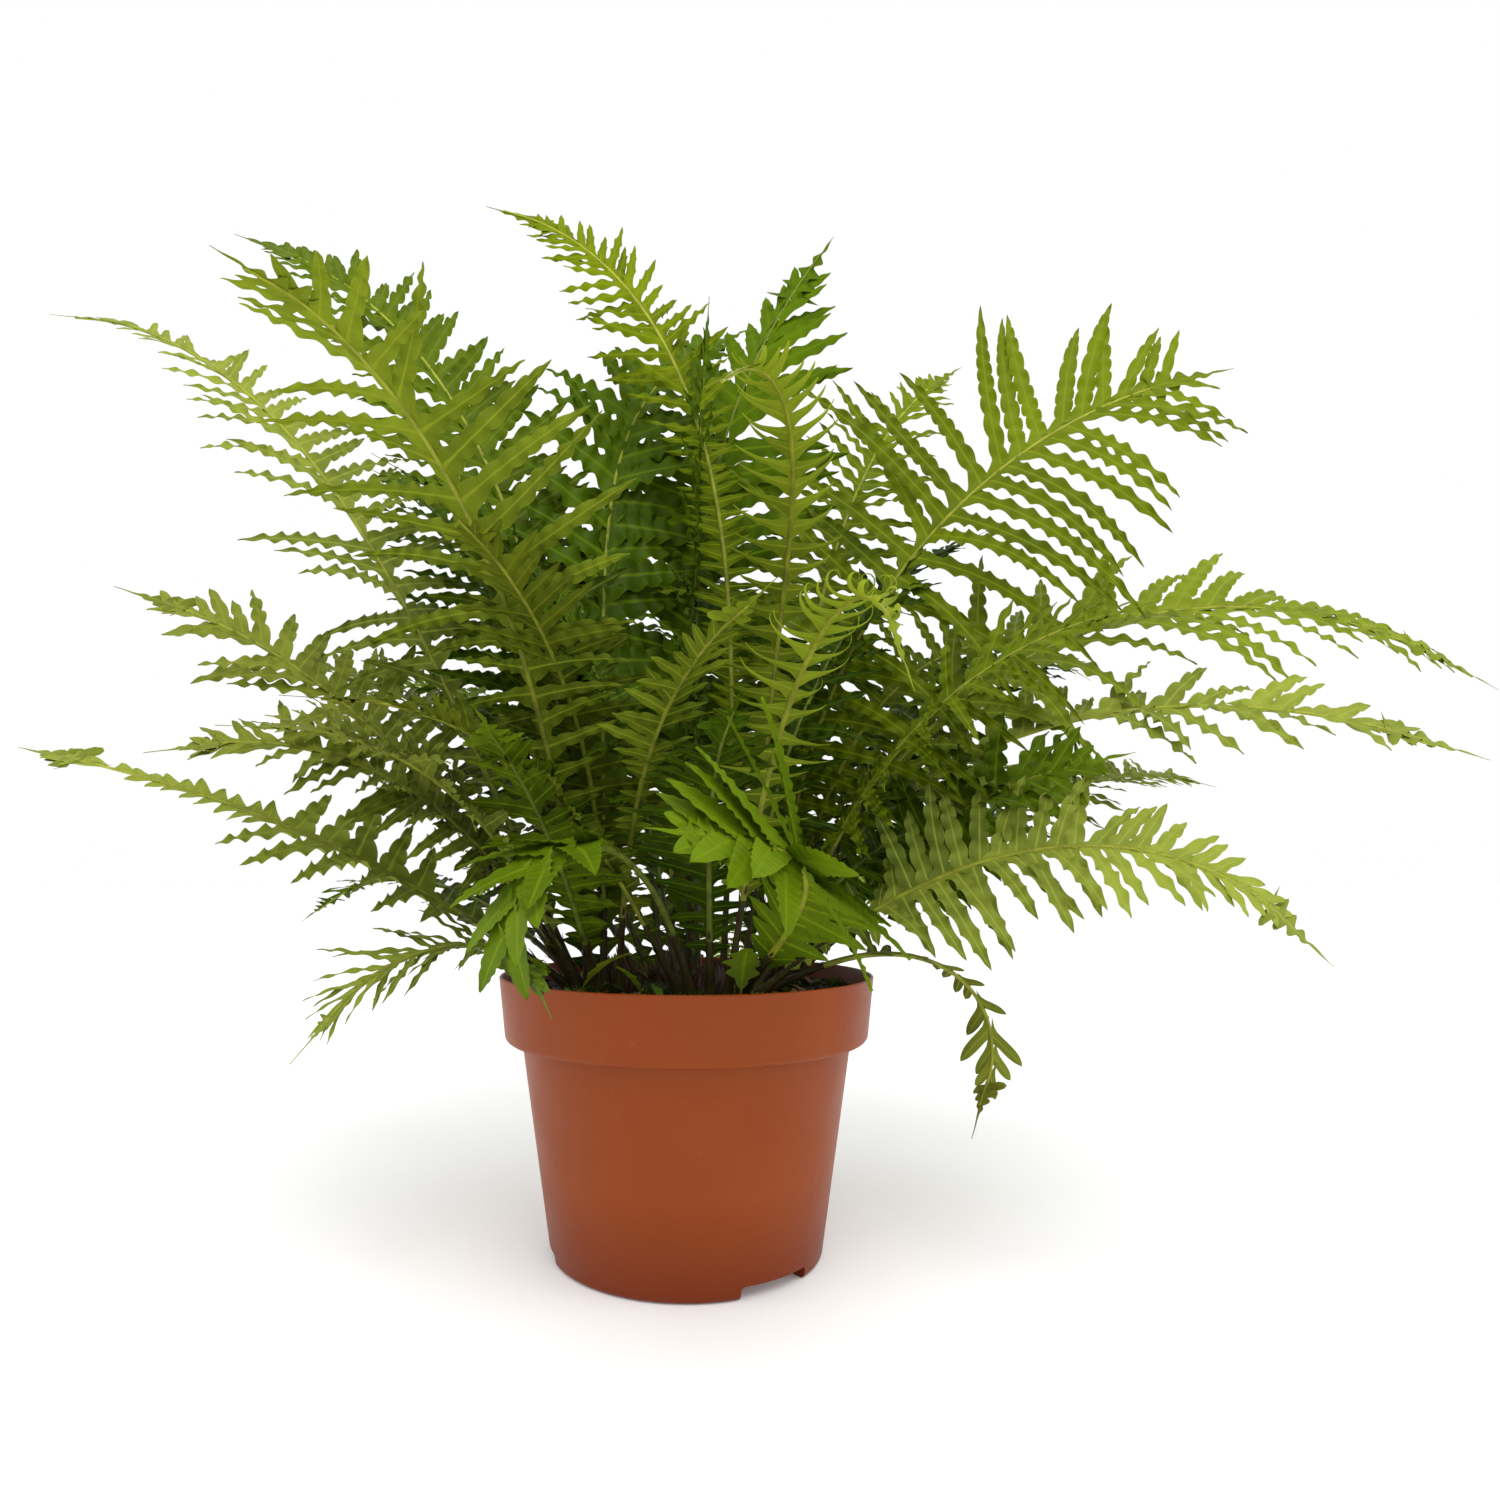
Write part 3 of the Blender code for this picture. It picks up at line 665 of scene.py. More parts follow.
def crown_mesh(name, low, high):
    """A knob as tall as its solid, with its coat of scales laid in a spiral from the foot to the top."""
    centre = (np.array(low) + np.array(high)) / 2
    centre[2] = low.z - CROWN_SINK
    radius = (high.x - low.x) / 2
    height = high.z - centre[2]
    turn = np.pi - np.arange(RING_POINTS) * np.pi / 4
    spokes = np.stack([np.cos(turn), np.sin(turn), np.zeros(RING_POINTS)], axis=1)
    skins = Skins()
    rings = []
    for level in np.linspace(0, 1, CROWN_LEVELS):
        out = radius * math.sqrt(max(0.0, 1 - (level * 0.98) ** 2)) * 0.92
        rings.append(centre + spokes * out + np.array([0, 0, height * 0.9 * level]))
    skins.add(np.array(rings), [0] * RING_POINTS)
    generator = np.random.default_rng(11)
    for number in range(CROWN_SCALES):
        level = (number + 0.5) / CROWN_SCALES
        turn = number * GOLDEN_TURN
        outward = np.array([math.cos(turn), math.sin(turn), 0.0])
        lean = level * math.pi / 2 * 0.92
        facing = outward * math.cos(lean) + UPWARD * math.sin(lean)
        heading = -outward * math.sin(lean) + UPWARD * math.cos(lean)
        root = centre + outward * radius * math.cos(lean) * 0.95 + UPWARD * height * 0.85 * math.sin(lean)
        length = SCALE_LENGTH * generator.uniform(0.7, 1.2)
        add_scale(skins, root, heading, facing, length, SCALE_WIDTH, 0, generator.uniform(0.3, 1.0))
    return skins.mesh(name)


scale_brown = papery_brown()
for node in sorted(name for name in frame["nodes"] if name.startswith("crown")):
    crown = made(node + "_scales", crown_mesh(node + "_scales", *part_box(node)), scale_brown)
    finish(crown, "crown", node)


# --------------------------------------------------------------------------------------------------
# The fronds: leathery once-cut fern leaves. Each has a grooved yellow-green rib on a dark scaly stalk, and
# two rows of long ruffled leaflets whose bases run down the rib, up to a lobed end with a hair-fine tip.

UPPER_LEAF, UNDER_LEAF, RIB, STALK, STALK_SCALE = range(5)
LEAF_SLOTS = [UPPER_LEAF] * 4 + [UNDER_LEAF] * 4
RING_REACH = 0.0046
STALK_RADIUS = 0.0018
RIB_TIP_RADIUS = 0.0006
RIB_STEP = 0.006
ROOT_DEPTH = 0.005
LEAFLET_GAP = 0.178
LEAST_GAP = 0.0065
LEAF_THICKNESS = 0.00028
WAVE_LENGTH = 0.0118
SCALLOP = 0.17
TROUGH = 0.12
STEPS_IN_WAVE = 7
HALF_WIDTH = 0.0046
LONG_LEAFLET = 0.11
FIRST_ANGLE = math.radians(86)
LAST_ANGLE = math.radians(32)
END_SHARE = 0.92
LAST_LEAFLET = 0.95
END_LIFT = 0.0007
END_HALF_WIDTH = 0.0085
END_LOBES = 4.5
END_LOBE_DEPTH = 0.5
END_TONE = 0.7
TAIL_LENGTH = 0.014
TAIL_STEPS = 6
ANGLE_SPREAD = 0.11
LEAFLET_LIFT = 10
LIFT_SPREAD = 9
SAG_SPREAD = (0.7, 1.4)
SWEEPS = (-0.05, 0.3)
CURL_SPREAD = (0.6, 1.3)
LENGTH_SPREAD = (0.82, 1.08)
GAP_SPREAD = (0.92, 1.08)
SHORTEST_LEAFLET = 0.01
CALM_LENGTH = 0.045
STALK_SCALES = 16
STALK_SCALE_LENGTH = 0.006
STALK_SCALE_WIDTH = 0.0008
FOOT_SWELLING = 0.9
SWELLING_REACH = 0.012
GROOVE = np.array([1, 1.0, 0.72, 1.0, 1, 1, 1.05, 1])
VEINS_ALONG = 1900.0
VEIN_SLANT = 7.0
LIGHT_THROUGH = 0.34
SHADED_HEART = np.array([0.0, 0.03, 0.27])
SHADED_REACH = 0.13
OPEN_REACH = 0.35


def welded(mesh):
    """The mesh's separate corner points, and for each the set of points that it is joined to."""
    points = np.array([vertex.co for vertex in mesh.vertices])
    points, number = np.unique(np.round(points, 5), axis=0, return_inverse=True)
    number = number.ravel()
    joined = [set() for _ in points]
    for edge in mesh.edges:
        first, second = (number[vertex] for vertex in edge.vertices)
        joined[first].add(second)
        joined[second].add(first)
    return points, joined


def solid_rings(points, joined):
    """The rings of four corners along a frond solid's rib, each as the set of its corner numbers."""
    rings = {}
    for start in range(len(points)):
        if start in rings:
            continue
        ring = {start}
        edge = [start]
        while edge:
            here = edge.pop()
            near = [other for other in joined[here] - ring
                    if np.linalg.norm(points[other] - points[here]) < RING_REACH]
            ring.update(near)
            edge += near
        for corner in ring:
            rings[corner] = ring
    return rings


def read_solid(mesh):
    """Rib points from foot to tip, the direction across the blade at each, the length of the longest
    leaflet, and the number of the rib point that the leaflets start at."""
    points, joined = welded(mesh)
    rings = solid_rings(points, joined)
    centre = {id(ring): points[list(ring)].mean(axis=0) for ring in rings.values()}
    beside = {}
    spikes = {}
    tip = None
    for corner, ring in rings.items():
        others = {id(rings[other]) for other in joined[corner]} - {id(ring)}
        if len(ring) > 1:
            beside.setdefault(id(ring), set()).update(
                id(rings[other]) for other in joined[corner] if len(rings[other]) > 1)
        elif len(others) == 1:
            tip = points[corner]
            last = others.pop()
        else:
            spikes.setdefault(frozenset(others), []).append(points[corner])
    chain = [last]
    while True:
        onward = beside[chain[-1]] - set(chain)
        if not onward:
            break
        chain.append(onward.pop())
    chain.reverse()
    rib = np.array([centre[ring] for ring in chain] + [tip])
    heading = unit(np.gradient(rib, axis=0))
    level = np.cross(UPWARD, heading)
    across = [None] * len(rib)
    longest = 0.0
    before = None
    for number, (ring, after) in enumerate(zip(chain, chain[1:])):
        tips = spikes.get(frozenset((ring, after)), [])
        middle = (rib[number] + rib[number + 1]) / 2
        for spike in tips:
            longest = max(longest, np.linalg.norm(spike - middle))
        if len(tips) == 2:
            wide = unit(unit(tips[0] - middle) - unit(tips[1] - middle))
            guide = level[number] if before is None else before
            before = wide if wide @ guide > 0 else -wide
            across[number] = before
    known = [number for number, wide in enumerate(across) if wide is not None]
    table = np.array([across[number] for number in known])
    across = np.stack([np.interp(range(len(rib)), known, row) for row in table.T], axis=1)
    leafy = [number for number, pair in enumerate(zip(chain, chain[1:])) if frozenset(pair) in spikes]
    return rib, across, longest, leafy[0]


class Line:
    """A smooth line through points, read by the distance along it, with a direction across it at each."""

    def __init__(self, points, across):
        self.points = points
        self.place = np.concatenate([[0.0], np.cumsum(np.linalg.norm(np.diff(points, axis=0), axis=1))])
        self.slope = np.gradient(points, self.place, axis=0)
        self.across = across
        self.length = self.place[-1]

    def at(self, distance):
        """Point, heading, across and upward direction at each distance along the line."""
        distance = np.atleast_1d(distance)
        number = np.clip(np.searchsorted(self.place, distance, side="right") - 1, 0, len(self.place) - 2)
        gap = self.place[number + 1] - self.place[number]
        share = ((distance - self.place[number]) / gap)[:, None]
        gap = gap[:, None]
        near, far = self.points[number], self.points[number + 1]
        leave, arrive = self.slope[number] * gap, self.slope[number + 1] * gap
        square, cube = share**2, share**3
        point = (near * (2 * cube - 3 * square + 1) + leave * (cube - 2 * square + share)
                 + far * (3 * square - 2 * cube) + arrive * (cube - square))
        heading = unit(near * (6 * square - 6 * share) + leave * (3 * square - 4 * share + 1)
                       + far * (6 * share - 6 * square) + arrive * (3 * square - 2 * share))
        across = np.stack([np.interp(distance, self.place, row) for row in self.across.T], axis=1)
        across = unit(across - (across * heading).sum(axis=1, keepdims=True) * heading)
        return point, heading, across, np.cross(heading, across)

    def spot(self, distance):
        """The same at one distance."""
        return (row[0] for row in self.at(distance))


def openness(points):
    """How far each point is out of the shaded heart of the plant, from 0 to 1."""
    return np.interp(np.linalg.norm(points - SHADED_HEART, axis=1), (SHADED_REACH, OPEN_REACH), (0, 1))


def leaflet_shape(share, taper):
    """Length of a leaflet beside the longest, by how far up the blade it grows; below 0 is on the stalk."""
    return np.clip(0.42 + 2.4 * share, 0.18, 1.0) * (1 - max(0.0, share) ** taper)


def leaflet_run(generator, habit, root, heading, side, up, length, share, t):
    """Where a leaflet runs and which way its upper face looks, at each share t of its length: it leaves the
    rib at an angle, sweeps forward, sags, curls and twists."""
    angle = FIRST_ANGLE + (LAST_ANGLE - FIRST_ANGLE) * share**2.4 + generator.normal(0, ANGLE_SPREAD)
    angle += math.radians(habit["forward"])
    lift = math.radians(generator.normal(LEAFLET_LIFT, LIFT_SPREAD))
    outward = np.cross(up, heading) * side
    start = math.cos(angle) * heading + math.sin(angle) * (math.cos(lift) * outward + math.sin(lift) * up)
    sag = habit["sag"] * generator.uniform(*SAG_SPREAD) * (length / LONG_LEAFLET)
    sag = sag * (1 - 0.8 * max(0.0, start[2]))
    sweep = generator.uniform(*SWEEPS)
    path = unit(start + heading * sweep * t - UPWARD * sag * t**1.5)
    facing = unit(up - (path @ up)[:, None] * path)
    curl = math.radians(habit["curl"]) * share ** habit["curl_grows"]
    curl = curl * generator.uniform(*CURL_SPREAD) * t ** habit["curl_late"]
    path, facing = path * np.cos(curl) + facing * np.sin(curl), facing * np.cos(curl) - path * np.sin(curl)
    twist = math.radians(habit["twist"]) * (1 - 0.7 * share**4) * generator.normal(0, 1) * t
    facing = facing * np.cos(twist) + np.cross(facing, path) * np.sin(twist)
    run = np.concatenate([np.zeros((1, 3)), np.cumsum(path[1:], axis=0)])
    return root + run * length / (len(t) - 1), facing


def leaflet_edges(generator, habit, side, length, gap, share, waves, t):
    """Half width to the right and left at each share t of a leaflet's length, and how its edges rise."""
    half = HALF_WIDTH * habit["width"] * (0.28 + 0.72 * min(1.0, 1.25 * length / LONG_LEAFLET))
    blunt = habit["blunt"] + 1.6 * share**3
    profile = half * (1 - t**blunt) ** 0.9 * (0.78 + 0.22 * np.minimum(1, t * 5))
    wing = gap * np.exp(-t * length / (gap * 0.42 * habit["wing"]))
    forward, backward = profile + 0.34 * wing, profile + 0.72 * wing
    fade = np.minimum(1, t * 9) * np.minimum(1, (1 - t) * 5) * min(1.0, length / CALM_LENGTH)
    phases = generator.uniform(0, 2 * math.pi, 2)
    turns = 2 * math.pi * waves * (t + 0.03 * np.sin(9 * t + phases[0]))
    scallop = [1 + SCALLOP * habit["scallop"] * fade * np.sin(turns + phase + 1.6) for phase in phases]
    right, left = (backward, forward) if side < 0 else (forward, backward)
    waved = np.where(ACROSS < 0, np.sin(turns + phases[0])[:, None], np.sin(turns + phases[1])[:, None])
    ruffle = (habit["ruffle"] * half * fade)[:, None] * waved * np.abs(ACROSS) ** 1.7
    return right * scallop[0], left * scallop[1], ruffle + TROUGH * half * np.abs(ACROSS)


def add_leaflet(skins, generator, habit, place, length, gap, share):
    """One leaflet. place is its root, the rib's heading there, its side, +1 to the left of the rib and -1
    to the right, and the way up from the blade; share is how far up the blade it grows."""
    _, heading, side, _ = place
    waves = length / (WAVE_LENGTH * habit["wave"])
    t = np.linspace(0, 1, max(9, round(waves * STEPS_IN_WAVE) + 2))
    centre, facing = leaflet_run(generator, habit, *place, length, share, t[:, None])
    right, left, rise = leaflet_edges(generator, habit, side, length, gap, share, waves, t)
    thickness = LEAF_THICKNESS * (1 - 0.6 * t)
    # Painted shade: leaflets whose ends lie in the plant's heart get a low tone and so a darker green; the
    # tone also grows towards the frond's end and varies at random.
    tone = 0.6 * openness(centre[-1:]) + (0.1 + habit["glow"]) * share + 0.3 * generator.uniform(0, 1)
    hold = 3.0 * np.exp(-t * length / (gap * 0.5))
    skins.add(blade(centre, facing, right, left, rise, thickness, heading, hold), LEAF_SLOTS, tone)


def add_stem(skins, line, leafy):
    """The stalk and rib: a rod grooved along its upper side, thick at the foot and fine at the tip."""
    distance = np.arange(0, line.length, RIB_STEP)
    point, _, across, up = line.at(distance)
    radius = STALK_RADIUS + (RIB_TIP_RADIUS - STALK_RADIUS) * (distance / line.length) ** 1.3
    radius = (radius * (1 + FOOT_SWELLING * np.exp(-distance / SWELLING_REACH)))[:, None, None]
    turn = np.pi - np.arange(RING_POINTS) * np.pi / 4
    aside, above = np.cos(turn) * GROOVE, np.sin(turn) * GROOVE
    rings = (point[:, None] + across[:, None] * aside[None, :, None] * radius
             + up[:, None] * above[None, :, None] * radius)
    foot = rings[:1] - UPWARD * ROOT_DEPTH
    change = np.searchsorted(distance, leafy * 0.8)
    skins.add(np.concatenate([foot, rings[:change + 1]]), [STALK] * RING_POINTS)
    # Painted shade: the rib's tone, and so its colour, is darker where it lies in the plant's heart.
    skins.add(rings[change:], [RIB] * RING_POINTS, 0.25 + 0.9 * openness(point[change:]))


def add_end(skins, habit, line):
    """The frond's end, where the leaflets run together into a lobed strip that narrows to a hair."""
    point, heading, _, up = line.at(np.linspace(line.length * END_SHARE, line.length, 26))
    beyond = point[-1] + heading[-1] * (np.linspace(0.1, 1, TAIL_STEPS) * TAIL_LENGTH)[:, None]
    facing = np.concatenate([up, np.repeat(up[-1:], TAIL_STEPS, axis=0)])
    centre = np.concatenate([point, beyond]) + facing * END_LIFT
    t = np.linspace(0, 1, len(centre))
    half = END_HALF_WIDTH * habit["width"] * (1 - t) ** 1.4 + 0.0002
    lobes = 2 * math.pi * END_LOBES * t
    right = half * (1 + END_LOBE_DEPTH * np.sin(lobes))
    left = half * (1 + END_LOBE_DEPTH * np.sin(lobes + 2.2))
    rise = 0.2 * half[:, None] * np.sin(lobes[:, None] + ACROSS * 2) * np.abs(ACROSS)
    thickness = np.full(len(centre), LEAF_THICKNESS * 0.7)
    skins.add(blade(centre, facing, right, left, rise, thickness), LEAF_SLOTS, END_TONE)


def frond_mesh(name, solid, habit, seed):
    """A whole frond grown along the rib of its solid."""
    rib, across, longest, first = read_solid(solid)
    line = Line(rib, across)
    generator = np.random.default_rng(seed)
    skins = Skins()
    leafy = line.place[first]
    add_stem(skins, line, leafy)
    for side in (1, -1):
        distance = leafy + habit["lowest"] * (line.length - leafy) + (0.2 if side > 0 else 0.7) * LEAST_GAP
        while distance < line.length * LAST_LEAFLET:
            share = (distance - leafy) / (line.length - leafy)
            size = np.interp(share, *habit["size"])
            length = longest * leaflet_shape(share, habit["taper"]) * generator.uniform(*LENGTH_SPREAD)
            length = length * habit["length"] * size
            gap = max(LEAST_GAP, LEAFLET_GAP * longest * (1 - 0.35 * share**3)) * habit["gap"]
            gap *= 0.45 + 0.55 * size
            if length > SHORTEST_LEAFLET and generator.uniform() > habit["lost"]:
                root, heading, wide, up = line.spot(distance)
                turn = math.radians(habit["turn"]) * share
                up = up * math.cos(turn) + wide * math.sin(turn)
                place = root, heading, side, up
                add_leaflet(skins, generator, habit, place, length, gap, max(0.0, share))
            distance += gap * generator.uniform(*GAP_SPREAD)
    add_end(skins, habit, line)
    for number in range(STALK_SCALES):
        root, heading, wide, up = line.spot(leafy * (number / STALK_SCALES) ** 1.5)
        turn = number * GOLDEN_TURN
        facing = wide * math.cos(turn) + up * math.sin(turn)
        root = root + facing * STALK_RADIUS * 0.9
        add_scale(skins, root, heading, facing, STALK_SCALE_LENGTH, STALK_SCALE_WIDTH, STALK_SCALE, 0.15)
    return skins.mesh(name)


def leaf_green(name, colour, under):
    """Leaf tissue: pale midrib, fine side veins that slant forward, patches of deeper green, and painted
    shade that turns leaflets in the plant's heart a darker green. Light also comes through it from behind."""
    shader = Shader(name)
    across = shader.math("ABSOLUTE", shader.read("across"))
    along = shader.read("along")
    tone = shader.read("tone")
    red, green, blue = colour
    deep = paint(red * 0.43, green * 0.52, blue * 0.3)
    fresh = paint(red * 1.18, green * 1.14, blue * 1.1)
    rib = paint(red * 1.15 + 14, green * 1.1 + 12, blue * 1.1 + 5)
    patch = shader.between(shader.noise(48.0, detail=4.0), 0.3, 0.7)
    # shade mixes random patches with the tone, which carries painted shade in the plant's heart; low values
    # give deep, high ones fresh.
    shade = shader.plus(shader.times(patch, 0.3), shader.times(tone, 0.85))
    tissue = shader.blend(shade, deep, fresh)
    slant = shader.math("SUBTRACT", shader.times(along, VEINS_ALONG), shader.times(across, VEIN_SLANT))
    veins = shader.between(shader.math("SINE", slant), 0.55, 1.0)
    veins = shader.times(veins, 0.09 if under else 0.05)
    tissue = shader.blend(veins, tissue, rib)
    midrib = shader.between(across, 0.16, 0.05)
    tissue = shader.blend(shader.times(midrib, 0.7), tissue, rib)
    edge = shader.between(across, 0.86, 1.0)
    tissue = shader.blend(shader.times(edge, 0.2), tissue, rib)
    rough = shader.between(shader.noise(160.0), 0.3, 0.7, 0.6 if under else 0.42, 0.75 if under else 0.56)
    shader.set(Base_Color=tissue, Roughness=rough, Specular_IOR_Level=0.06 if under else 0.12)
    relief = shader.plus(shader.times(midrib, 0.7), shader.times(veins, 0.5))
    shader.bump(relief, 0.00025 if under else -0.0002, 0.5)
    through = shader.add("BsdfTranslucent", {"Color": tissue})
    both = shader.add("MixShader", {0: LIGHT_THROUGH, 1: shader.surface.outputs[0], 2: through.outputs[0]})
    shader.put(shader.tree.nodes["Material Output"].inputs["Surface"], both.outputs[0])
    return shader.material


def stem_skin(name, pale, dark, mottle):
    """Rib or stalk: smooth, finely streaked lengthwise, with dark flecks where scales have dropped off, and
    painted shade on ribs in the plant's heart.
    """
    shader = Shader(name)
    patch = shader.between(shader.noise(90.0, detail=4.0), 0.35, 0.65)
    tone = shader.read("tone")
    shade = shader.plus(shader.times(patch, 0.4), shader.times(tone, 0.6))
    colour = shader.blend(shade, dark, pale)
    flecks = shader.between(shader.noise(520.0, detail=2.0), 0.64, 0.7)
    colour = shader.blend(shader.times(flecks, mottle), colour, paint(38, 24, 14))
    shader.set(Base_Color=colour, Roughness=0.5, Specular_IOR_Level=0.2)
    shader.bump(shader.noise(420.0, detail=3.0, stretch=(1, 1, 0.15)), 0.0002, 0.5)
    return shader.material


TONES = {
    # deep is partly painted shade, a green read off the plant's shaded heart.
    "deep": (62, 88, 0),
    "rich": (84, 113, 1),
    "mid": (92, 115, 5),
    "bright": (112, 132, 9),
    "light": (128, 147, 34),
    "pale": (140, 156, 60),
    "olive": (102, 117, 22),
    "grey": (126, 140, 50),
    "fresh": (102, 130, 12),
    "young": (154, 168, 34),
}
UPPER_SIDES = {tone: leaf_green(f"leaf_{tone}", colour, under=False) for tone, colour in TONES.items()}
UNDER_SIDES = {tone: leaf_green(f"leaf_{tone}_under", [part * 0.98 + 5 for part in colour], under=True)
               for tone, colour in TONES.items()}
RIBS = {
    "clear": stem_skin("rib_clear", paint(160, 166, 48), paint(74, 80, 18), 0.25),
    "dull": stem_skin("rib_dull", paint(116, 130, 34), paint(52, 60, 12), 0.4),
}
# The stalks' dark brown is their own colour, made darker still as painted shade of the plant's heart.
stalk_brown = stem_skin("stalk_brown", paint(66, 60, 20), paint(22, 17, 6), 0.7)

PLAIN_HABIT = dict(tone="mid", rib="clear", sag=0.5, curl=-8, curl_late=1.5, curl_grows=0.0, twist=22,
                   turn=0, ruffle=0.45, scallop=1.0, wave=1.0, blunt=2.8, width=1.0, wing=0.75,
                   length=1.1, taper=3.6, size=((0, 1), (1, 1)), gap=1.1, forward=0, lowest=-0.15,
                   lost=0.02, glow=0.0)
INNER_HABIT = dict(lowest=-0.3)
HABITS = {
    1: dict(tone="light", twist=18, gap=1.2, length=1.15, size=((0, 0.28, 0.4, 1), (0.5, 0.55, 1, 1))),
    2: dict(tone="pale", gap=1.25, size=((0, 0.55, 0.75, 1), (1, 1, 0.6, 0.5))),
    3: dict(width=1.4, gap=1.35, length=1.3, forward=-14),
    4: dict(tone="grey", glow=0.3, gap=1.25, width=1.3, blunt=4.0),
    5: dict(tone="grey", glow=0.3, gap=1.25, width=1.2),
    6: dict(tone="pale", glow=0.7, gap=2.1, width=1.7, blunt=2.4,
            size=((0, 0.38, 0.46, 0.85, 0.9, 1), (1, 1.15, 0.28, 0.34, 1.1, 1.1))),
    7: dict(tone="pale", width=0.7, length=1.35, forward=-30, gap=1.0),
    8: dict(tone="fresh", rib="dull", width=2.2, gap=1.3, twist=5, ruffle=0.06, scallop=0.45, wave=0.5,
            length=0.95, forward=-26, wing=2.6, glow=0.2, size=((0, 0.4, 0.5, 1), (0.1, 0.1, 1, 1.1))),
    9: dict(tone="olive", width=1.1),
    10: dict(rib="dull", width=1.5),
    11: dict(tone="bright", length=1.2, width=1.2, gap=1.25, size=((0, 0.45, 0.6, 1), (0.4, 0.4, 1, 1.1)),
             forward=-8),
    12: dict(tone="rich", rib="dull", width=2.0, gap=1.7, length=1.45, scallop=0.4, ruffle=0.15, twist=10,
             forward=-10),
    13: dict(tone="rich", width=1.8, gap=1.4, twist=12, scallop=0.8, wing=1.6),
    14: dict(tone="light", sag=-0.2, curl=45, curl_late=2.0, twist=10, ruffle=0.1, width=0.42, wing=1.6,
             length=0.74, gap=1.5, forward=14, glow=0.5),
    15: dict(tone="light", sag=0.1, curl=450, curl_late=2.6, curl_grows=2.2, twist=10, ruffle=0.1,
             width=0.22, wing=1.4, length=0.85, gap=1.7, forward=14, glow=0.6),
    16: dict(tone="bright", sag=0.9, forward=2, twist=12, gap=0.76, length=1.22, wing=0.6),
    17: dict(tone="light", gap=1.8, forward=-26, sag=1.2, length=1.4, width=1.35, ruffle=0.3, twist=14),
    18: dict(tone="pale", gap=1.5, forward=-8, sag=0.8, twist=32, width=1.4, lost=0.12),
    19: dict(tone="grey", rib="dull"),
    20: dict(tone="pale", glow=0.3, twist=12, gap=0.9, width=1.25, blunt=4.0, sag=0.8, taper=2.0),
    21: dict(tone="grey", width=1.5, gap=1.75, forward=-15, blunt=5.0, twist=6, ruffle=0.04, scallop=0.06,
             wing=0.35, turn=80, size=((0, 0.6, 0.64, 1), (0.4, 0.3, 0.85, 0.8))),
    22: dict(tone="fresh", width=2.1, gap=1.05, twist=6, ruffle=0.06, scallop=0.3, wave=0.5, length=1.4,
             wing=2.4, forward=-18, sag=0.1, glow=0.3, size=((0, 0.35, 0.5, 1), (0.5, 0.55, 1, 1.1))),
    23: dict(tone="light", width=1.3, length=0.9, size=((0, 0.4, 0.5, 1), (0.3, 0.3, 1, 0.9))),
    25: dict(tone="bright"),
    26: dict(tone="fresh", width=1.8, wing=1.6),
    27: dict(tone="bright", length=0.9),
    29: dict(tone="bright"),
    30: dict(tone="rich", rib="dull"),
    32: dict(tone="grey", glow=0.2),
    33: dict(tone="olive", glow=0.2, width=1.3),
    35: dict(tone="grey"),
    43: dict(tone="rich", length=0.7, gap=1.4),
}
for number in (24, 28, 36):
    HABITS[number] = dict(INNER_HABIT, tone="rich", rib="dull", width=1.2)
# The innermost fronds take the deep green, partly their own darker colour and partly painted shade of the
# plant's heart.
for number in (31, 34, 37):
    HABITS[number] = dict(INNER_HABIT, tone="deep", rib="dull", width=1.2)
for node in sorted(name for name in frame["nodes"] if name.startswith("frond")):
    number = int(node[-2:])
    habit = {**PLAIN_HABIT, **HABITS.get(number, INNER_HABIT)}
    name = node + "_leaf"
    leaf_sides = UPPER_SIDES[habit["tone"]], UNDER_SIDES[habit["tone"]]
    mesh = frond_mesh(name, frame["nodes"][node].data, habit, number)
    frond = made(name, mesh, *leaf_sides, RIBS[habit["rib"]], stalk_brown, scale_brown)
    finish(frond, "frond", node)


# --------------------------------------------------------------------------------------------------
# The sprouts: four small young leaves at the edge of the soil, each a soft stalked leaf a few weeks old,
# with deep lobes and a pale vein. They grow straight out of the peat.

SPROUT_STEPS = 30
SPROUT_BOW = 0.12
SPROUT_HALF_WIDTH = 0.28
BARE_STALK = 0.22


def sprout_mesh(name, solid):
    """A stalked leaf with lobed edges from the foot of its solid to the far end of it."""
    points, _ = welded(solid)
    foot = points[points[:, 2].argmin()]
    tip = points[np.linalg.norm(points - foot, axis=1).argmax()]
    run = tip - foot
    length = np.linalg.norm(run)
    share = np.linspace(0, 1, SPROUT_STEPS)
    centre = foot + run * share[:, None] + UPWARD * length * SPROUT_BOW * np.sin(np.pi * share)[:, None]
    heading = unit(run)
    up = unit(UPWARD - heading[2] * heading)
    leafy = np.clip((share - BARE_STALK) / (1 - BARE_STALK), 0, 1)
    half = length * SPROUT_HALF_WIDTH * np.sin(np.pi * leafy) ** 0.8 + 0.0005
    lobes = 1 + 0.3 * np.sin(share * 34)
    rise = 0.1 * half[:, None] * np.abs(ACROSS)
    facing = np.repeat(up[None], SPROUT_STEPS, axis=0)
    skins = Skins()
    thickness = np.full(SPROUT_STEPS, LEAF_THICKNESS)
    skins.add(blade(centre, facing, half * lobes, half * lobes, rise, thickness), LEAF_SLOTS)
    return skins.mesh(name)


for number, tone in enumerate(("young", "mid", "mid", "light"), start=1):
    node = f"sprout_{number}"
    name = node + "_leaf"
    mesh = sprout_mesh(name, frame["nodes"][node].data)
    sprout = made(name, mesh, UPPER_SIDES[tone], UNDER_SIDES[tone])
    finish(sprout, "sprout", node)


# --------------------------------------------------------------------------------------------------
# The studio: a wide white floor under a white sky, one large soft lamp above and in front, and two weaker
# ones at the sides. The camera stands close in front of the pot, at about its rim, and looks up a little.

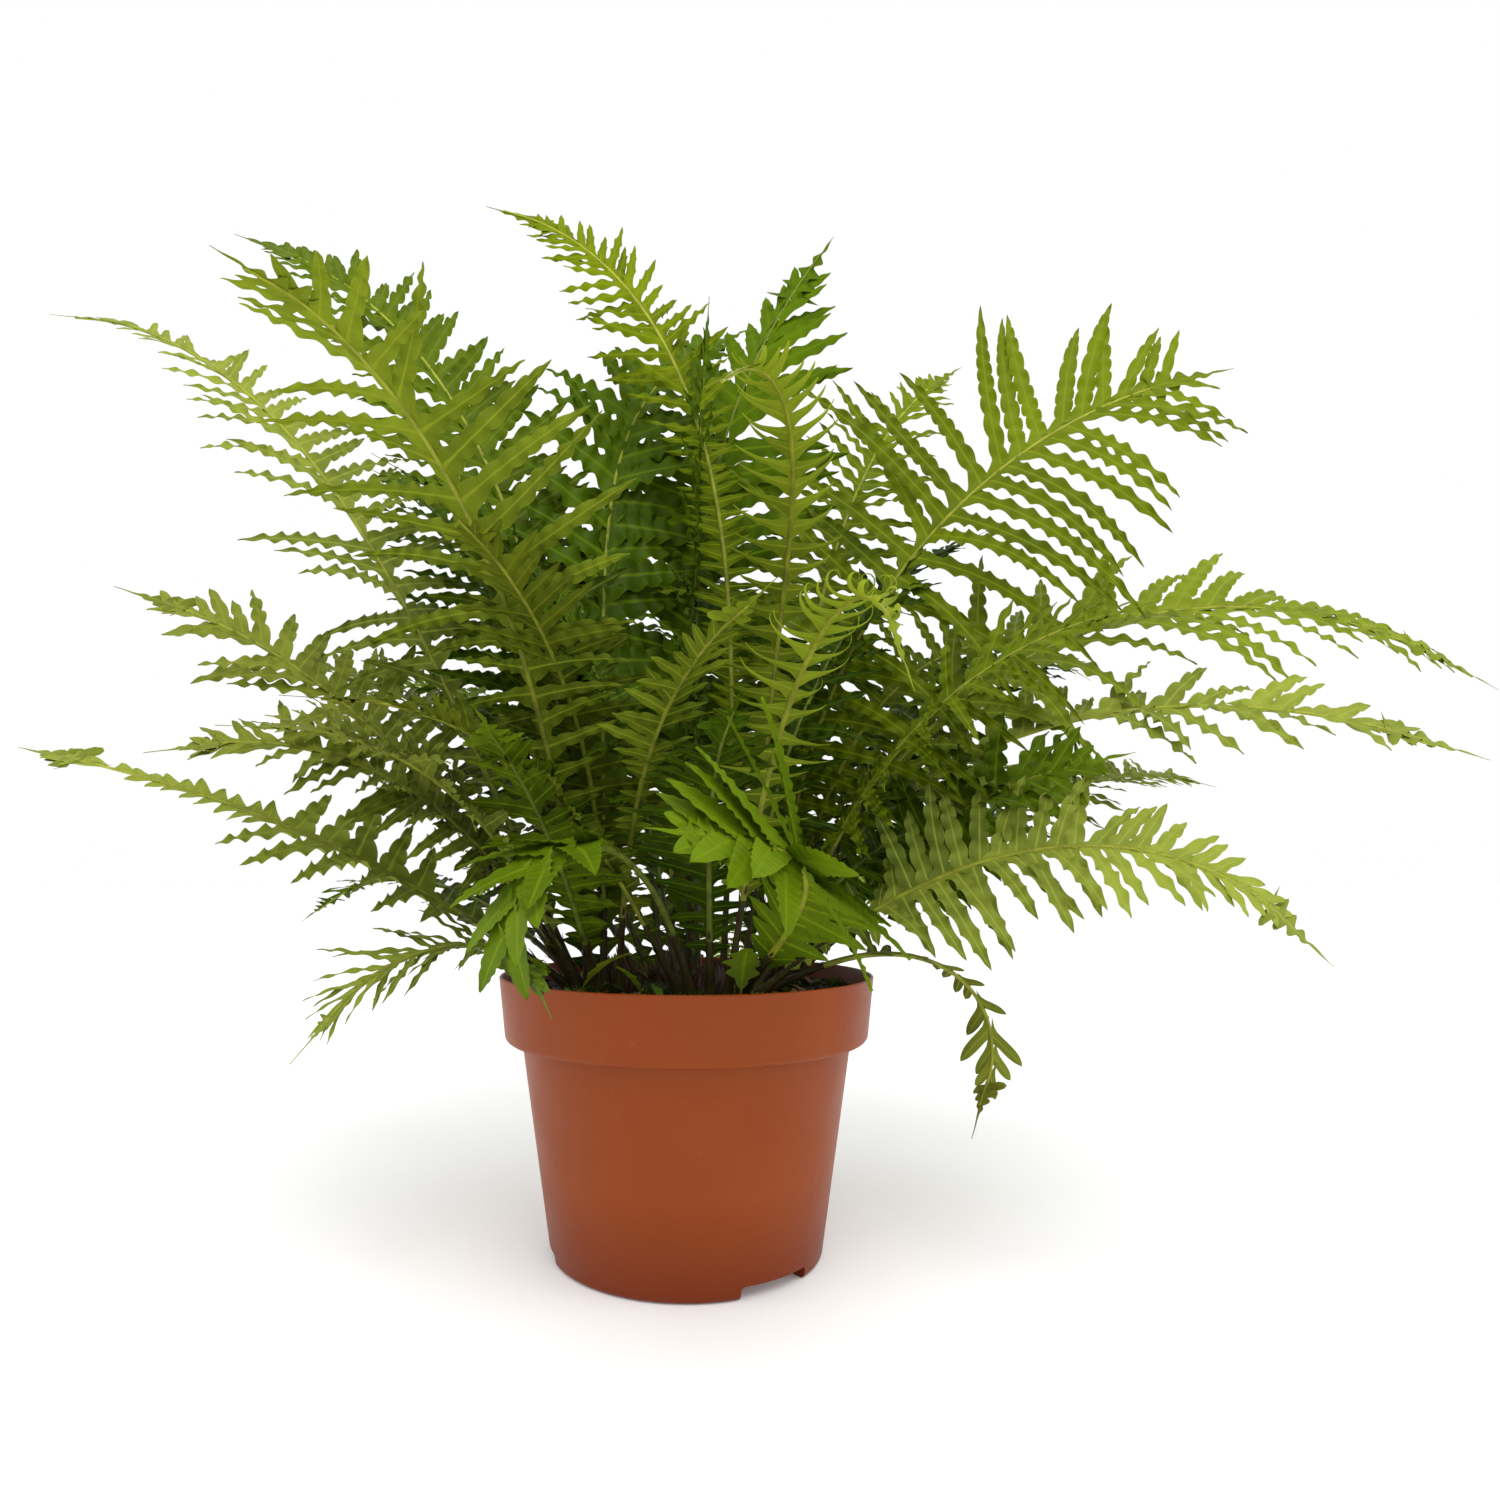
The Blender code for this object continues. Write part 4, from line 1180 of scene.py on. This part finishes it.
FLOOR_RADIUS = 30.0
FLOOR_SIDES = 96
FLOOR_DROP = 0.0002
LIT_HEIGHT = 0.3
EYE = (0.0, -0.551, 0.2015)
LOOK_UP = math.radians(7.6)

floor_mesh = bpy.data.meshes.new("floor")
floor_turns = [2 * math.pi * side / FLOOR_SIDES for side in range(FLOOR_SIDES)]
floor_rim = [(FLOOR_RADIUS * math.cos(turn), FLOOR_RADIUS * math.sin(turn), 0.0) for turn in floor_turns]
floor_mesh.from_pydata(floor_rim, [], [tuple(range(FLOOR_SIDES))])
white_floor = Shader("white_floor")
white_floor.set(Base_Color=paint(246, 246, 246), Roughness=0.7, Specular_IOR_Level=0.2,
                Emission_Color=(1.0, 1.0, 1.0, 1.0), Emission_Strength=0.09)
floor = made("floor", floor_mesh, white_floor.material)
floor.location.z = -FLOOR_DROP

world = bpy.data.worlds.new("studio")
world.use_nodes = True
world.node_tree.nodes["Background"].inputs["Color"].default_value = (1.0, 1.0, 1.0, 1.0)
world.node_tree.nodes["Background"].inputs["Strength"].default_value = 1.0
bpy.context.scene.world = world


def lamp(name, place, size, power):
    """A square soft lamp that shines at the middle of the plant."""
    data = bpy.data.lights.new(name, "AREA")
    data.size = size
    data.energy = power
    light = bpy.data.objects.new(name, data)
    light.location = place
    towards_plant = Vector((0, 0, LIT_HEIGHT)) - Vector(place)
    light.rotation_euler = towards_plant.to_track_quat("-Z", "Y").to_euler()
    bpy.context.scene.collection.objects.link(light)


lamp("key", (0.3, -1.6, 2.4), 1.6, 34)
lamp("left", (-2.2, -0.6, 1.2), 1.2, 9)
lamp("right", (2.2, -0.6, 1.2), 1.2, 9)

camera_data = bpy.data.cameras.new("camera")
camera_data.sensor_width = 36.0
camera_data.lens = 22.66
camera_data.shift_x = 0.0424
camera = bpy.data.objects.new("camera", camera_data)
camera.location = EYE
camera.rotation_euler = (math.pi / 2 + LOOK_UP, 0.0, 0.0)
bpy.context.scene.collection.objects.link(camera)
bpy.context.scene.camera = camera
bpy.context.scene.view_settings.view_transform = "Standard"
